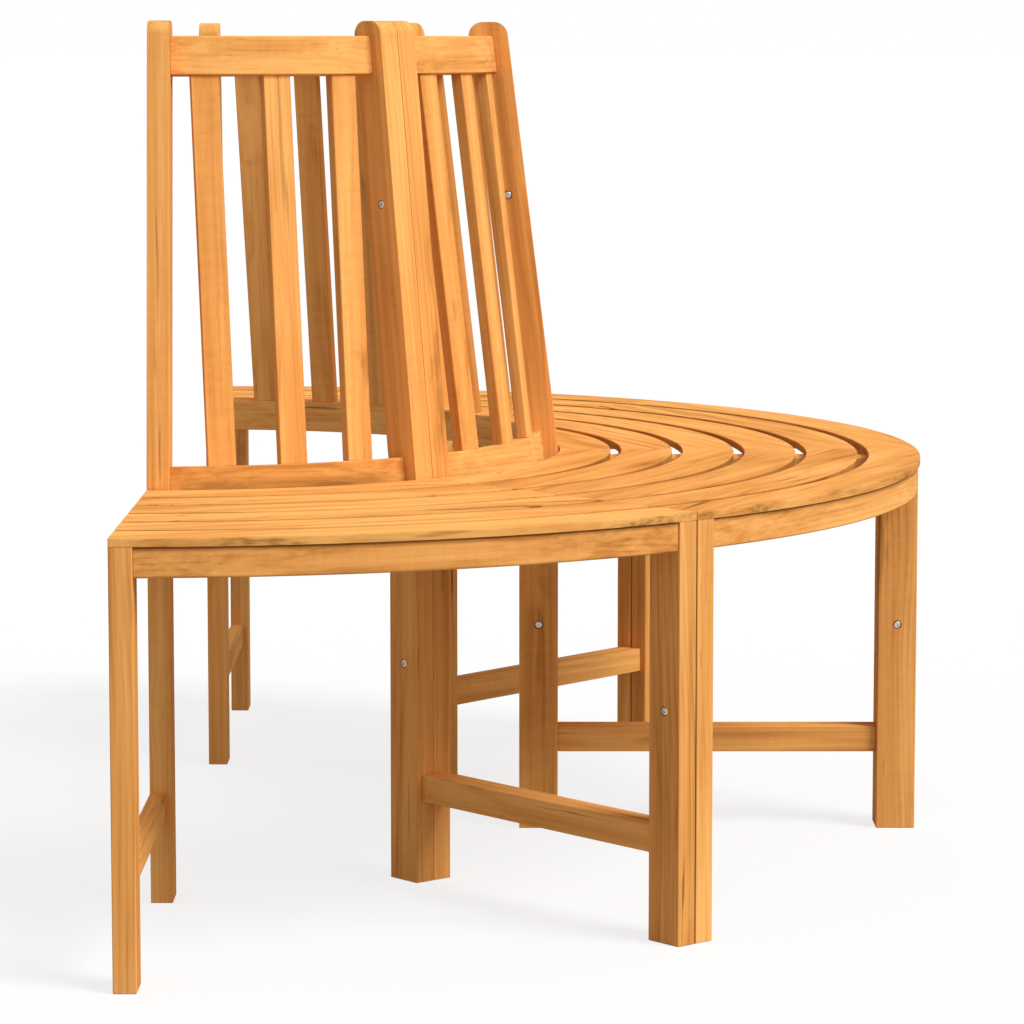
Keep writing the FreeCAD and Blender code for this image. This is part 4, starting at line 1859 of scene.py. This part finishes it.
@dataclass
class BackPanel(Panel):
    """The two curved rails and the upright slats of one segment's back rest.

    Attributes:
        uprights: Tree that sets up the slats.
        rail_edge: Radius of the rails' long edges.
        slat_edge: Radius of the slats' long edges.
        slat_soil: Share of the painted shade that lies beside the slats' long sides.
    """

    uprights: UprightSlats
    rail_edge: float = 0.0012
    slat_edge: float = 0.0014
    slat_soil: float = 0.42

    def rail(self, level: float, width: float, cut: WoodCut) -> Mesh:
        """Make a leaning curved rail.

        Args:
            level: Height of the rail's middle.
            width: Width of the rail.
            cut: Where it lay in its log.

        Returns:
            The rail's mesh.
        """
        plan = self.plan
        bar = UnitBar(plan.rail_thickness, width, self.rail_edge)
        return self.arc(bar, plan.inset, cut, self.finishes.frame_wood, {
            "First Radius": plan.rail_radius(level), "Level": level, "Lean": plan.lean,
        })

    def slats(self) -> Mesh:
        """Make the upright slats between the two rails.

        Returns:
            The slats' mesh.
        """
        plan = self.plan
        slope = math.cos(plan.lean)
        start = (plan.bottom_rail_level - plan.lean_start) / slope + plan.bottom_rail_width / 2
        end = (plan.top_rail_level - plan.lean_start) / slope - plan.top_rail_width / 2
        middle = (start + end) / 2
        radius = plan.panel_radius - middle * math.sin(plan.lean)
        bar = UnitBar(plan.back_slat_thickness, plan.back_slat_width, self.slat_edge, steps=1, ease=0.0)
        cut = self.cut("back_slats", Sawing.FLAT, SeedStep.BACK_SLATS)
        return self.uprights.apply(bar.mesh(), cut.node, {
            "Boards": plan.back_slat_count,
            "Pitch": self.segment.slat_pitch,
            "Radius": radius,
            "Level": plan.lean_start + middle * slope,
            "Lean": plan.lean,
            "Facing": self.segment.middle_angle(plan, radius),
            "Length": end - start,
            "Soil": self.slat_soil,
            "Finish": self.finishes.back_wood,
            **wood_values(plan.back_slat_width, plan.back_slat_thickness, cut),
        })

    def build(self) -> None:
        """Make and dress the back's pieces."""
        plan, finishes = self.plan, self.finishes
        for name, level, width, step in (
            ("bottom_rail", plan.bottom_rail_level, plan.bottom_rail_width, SeedStep.BOTTOM_RAIL),
            ("top_rail", plan.top_rail_level, plan.top_rail_width, SeedStep.TOP_RAIL),
        ):
            cut = self.cut(name, Sawing.QUARTER, step)
            settle(self.rail(level, width, cut), cut.node, Slot.FRAME_WOOD, finishes.frame_wood)
        settle(self.slats(), self.segment.node("back_slats"), Slot.SLAT_WOOD, finishes.back_wood)


@dataclass
class Connectors:
    """The connector bolts and sleeve nuts at the bolted joints.

    Attributes:
        plan: Sizes of the bench.
        joints: The bolted joint lines.
        finish: Material of the bolts and nuts.
        seed: Seed of the heads' turns, less 1 for the bolts and plus 1 for the nuts.
        head_sides: Number of sides of a head.
        dome: Share of the head's radius and of its height at each ring of its dome.
        socket_sides: Number of sides of the socket.
        socket_radius: Radius of the socket's corners.
        socket_depth: Depth of the socket.
        shank_radius: Radius of the shank.
        shank_length: Length of the shank that is made.
    """

    plan: BenchPlan
    joints: Sequence[JointLine]
    finish: Material
    seed: int = 71
    head_sides: int = 32
    dome: Sequence[Point] = ((1.0, 0.45), (0.93, 0.7), (0.78, 0.89), (0.6, 1.0))
    socket_sides: int = 6
    socket_radius: float = 0.0023
    socket_depth: float = 0.0015
    shank_radius: float = 0.0028
    shank_length: float = 0.012

    def head(self) -> Mesh:
        """Make one domed head with a hex socket and a short length of its shank.

        Returns:
            The head's mesh, with its axis along Z.
        """
        radius, crown = self.plan.head_radius, self.plan.head_height
        shank = [(self.shank_radius, -self.shank_length), (self.shank_radius, 0.0), (radius, 0.0)]
        dome = [(wide * radius, high * crown) for wide, high in self.dome]
        body = cylinder_mesh("bolt_head", shank + dome, self.head_sides)
        bore = [(self.socket_radius, crown - self.socket_depth), (self.socket_radius, 2 * crown)]
        return subtract(body, [cylinder_mesh("socket", bore, self.socket_sides)])

    def places(self, side: int) -> Mesh:
        """Mark each bolt place.

        Args:
            side: 1 for the side of the next segment, or -1.

        Returns:
            A mesh with a point at each place, and the turn of the fastener there.
        """
        plan = self.plan
        seat = side * (plan.inset - plan.counterbore_depth)
        spots, turns = [], []
        for joint in self.joints:
            for out, height in plan.bolt_places:
                spots.append(joint.matrix() @ Vector((out, seat, height)))
                turns += [math.pi / 2, 0.0, joint.angle + side * math.pi / 2]
        mesh = bpy.data.meshes.new("bolt_places")
        mesh.from_pydata(spots, [], [])
        layer = mesh.attributes.new(TURN, "FLOAT_VECTOR", "POINT")
        layer.data.foreach_set("vector", turns)
        return mesh

    def build(self) -> None:
        """Make and dress the bolts and the nuts."""
        pattern = link_mesh(self.head(), "fastener_pattern")
        tree = FastenerHeads(pattern)
        for node, side in (("connector_bolts", -1), ("sleeve_nuts", 1)):
            values = {"Seed": self.seed + side, "Finish": self.finish}
            settle(tree.apply(self.places(side), node, values), node, Slot.STEEL, self.finish)
        bpy.data.objects.remove(pattern)


@dataclass
class Studio:
    """The pale floor, the soft light and the camera.

    Attributes:
        floor_size: Length of the floor's sides, in metres, which is also how far the camera sees.
        floor_shade: Grey of the floor where it is seen.
        floor_glow: Share of the floor's look that is plain white light.
        bounce_shade: Grey of the floor for the light that it throws on the bench.
        sky: Strength of the sky's light.
        key_strength: Strength of the key light.
        key_softness: How wide the key light looks from the bench.
        key_from: Direction that the key light comes from.
        camera_place: Place of the camera, in metres.
        camera_pitch: How far the camera looks down.
        camera_lens: Length of its lens, in millimetres.
        sensor: Width of its sensor, in millimetres.
    """

    floor_size: float = 600.0
    floor_shade: float = 0.93
    floor_glow: float = 0.78
    bounce_shade: float = 0.38
    sky: float = 0.5
    key_strength: float = 2.7
    key_softness: float = math.radians(28)
    key_from: tuple[float, float, float] = (-0.39, -0.60, 0.69)
    camera_place: tuple[float, float, float] = (-4.378, -0.3605, 0.855)
    camera_pitch: float = math.radians(6.644)
    camera_lens: float = 142.37
    sensor: float = 36.0

    def seen(self, w: Wiring) -> Socket:
        """Return 1 for rays that see the background straight, in a reflection or through glass."""
        path = w.add("ShaderNodeLightPath").outputs
        return w.highest(path["Is Camera Ray"], path["Is Glossy Ray"], path["Is Transmission Ray"])

    def floor(self) -> None:
        """Lay the pale floor, which keeps the bench's shadow."""
        w = ShaderWiring("pale_floor")
        share = self.seen(w)
        shade = w.mix(share, grey(self.bounce_shade), grey(self.floor_shade))
        material = w.close(w.out("ShaderNodeMixShader", {
            0: w.product(share, self.floor_glow),
            1: w.out("ShaderNodeBsdfDiffuse", {"Color": shade, "Roughness": 0.0}),
            2: w.out("ShaderNodeEmission", {"Color": WHITE, "Strength": 1.0}),
        }))
        half = self.floor_size / 2
        mesh = bpy.data.meshes.new("floor")
        corners = [(x, y, 0) for x, y in rectangle(-half, -half, half, half)]
        mesh.from_pydata(corners, [], [(0, 1, 2, 3)])
        mesh.materials.append(material)
        link_mesh(mesh, "floor")

    def world(self) -> None:
        """Make a plain sky that looks white and lights softly."""
        world = bpy.data.worlds.new("plain_sky")
        world.use_nodes = True
        world.node_tree.nodes.clear()
        w = Wiring(world.node_tree)
        strength = w.total(w.product(self.seen(w), 1.0 - self.sky), self.sky)
        surface = w.out("ShaderNodeBackground", {"Color": WHITE, "Strength": strength})
        w.add("ShaderNodeOutputWorld", {"Surface": surface})
        bpy.context.scene.world = world

    def key_light(self) -> None:
        """Hang the soft key light at the front right."""
        lamp = bpy.data.lights.new("key", "SUN")
        lamp.energy = self.key_strength
        lamp.angle = self.key_softness
        thing = bpy.data.objects.new("key", lamp)
        thing.rotation_euler = Vector(self.key_from).to_track_quat("Z", "Y").to_euler()
        bpy.context.scene.collection.objects.link(thing)

    def camera(self) -> None:
        """Place the camera at the photograph's viewing angle."""
        lens = bpy.data.cameras.new("camera")
        lens.lens = self.camera_lens
        lens.sensor_width = self.sensor
        lens.clip_end = self.floor_size
        thing = bpy.data.objects.new("camera", lens)
        thing.location = self.camera_place
        thing.rotation_euler = (math.pi / 2 - self.camera_pitch, 0.0, -math.pi / 2)
        bpy.context.scene.collection.objects.link(thing)
        bpy.context.scene.camera = thing

    def build(self) -> None:
        """Set up everything round the bench."""
        self.floor()
        self.world()
        self.key_light()
        self.camera()
        bpy.context.scene.view_settings.view_transform = "Standard"


def main() -> None:
    """Build the bench piece by piece, then its surroundings."""
    logging.basicConfig(level=logging.INFO, format="%(name)s: %(message)s")
    finishes = Finishes.make()
    plan = BenchPlan.from_frame()
    arcs = ArcBoards()
    uprights = UprightSlats()
    segments = make_segments(plan)
    wood = finishes.frame_wood
    for number, segment in enumerate(segments):
        seed = SeedStep.SEGMENT * (number + 1)
        first, last = number == 0, number == len(segments) - 1
        SideFrame(plan, segment, wood, segment.start, 1, segment.start_end, not first, seed).build()
        second = seed + SeedStep.SECOND_FRAME
        SideFrame(plan, segment, wood, segment.end, -1, segment.final_end, not last, second).build()
        SeatPanel(plan, segment, finishes, arcs, seed).build()
        BackPanel(plan, segment, finishes, arcs, seed, uprights).build()
    Connectors(plan, [segment.end for segment in segments[:-1]], finishes.steel).build()
    Studio().build()


if __name__ == "__main__":
    main()
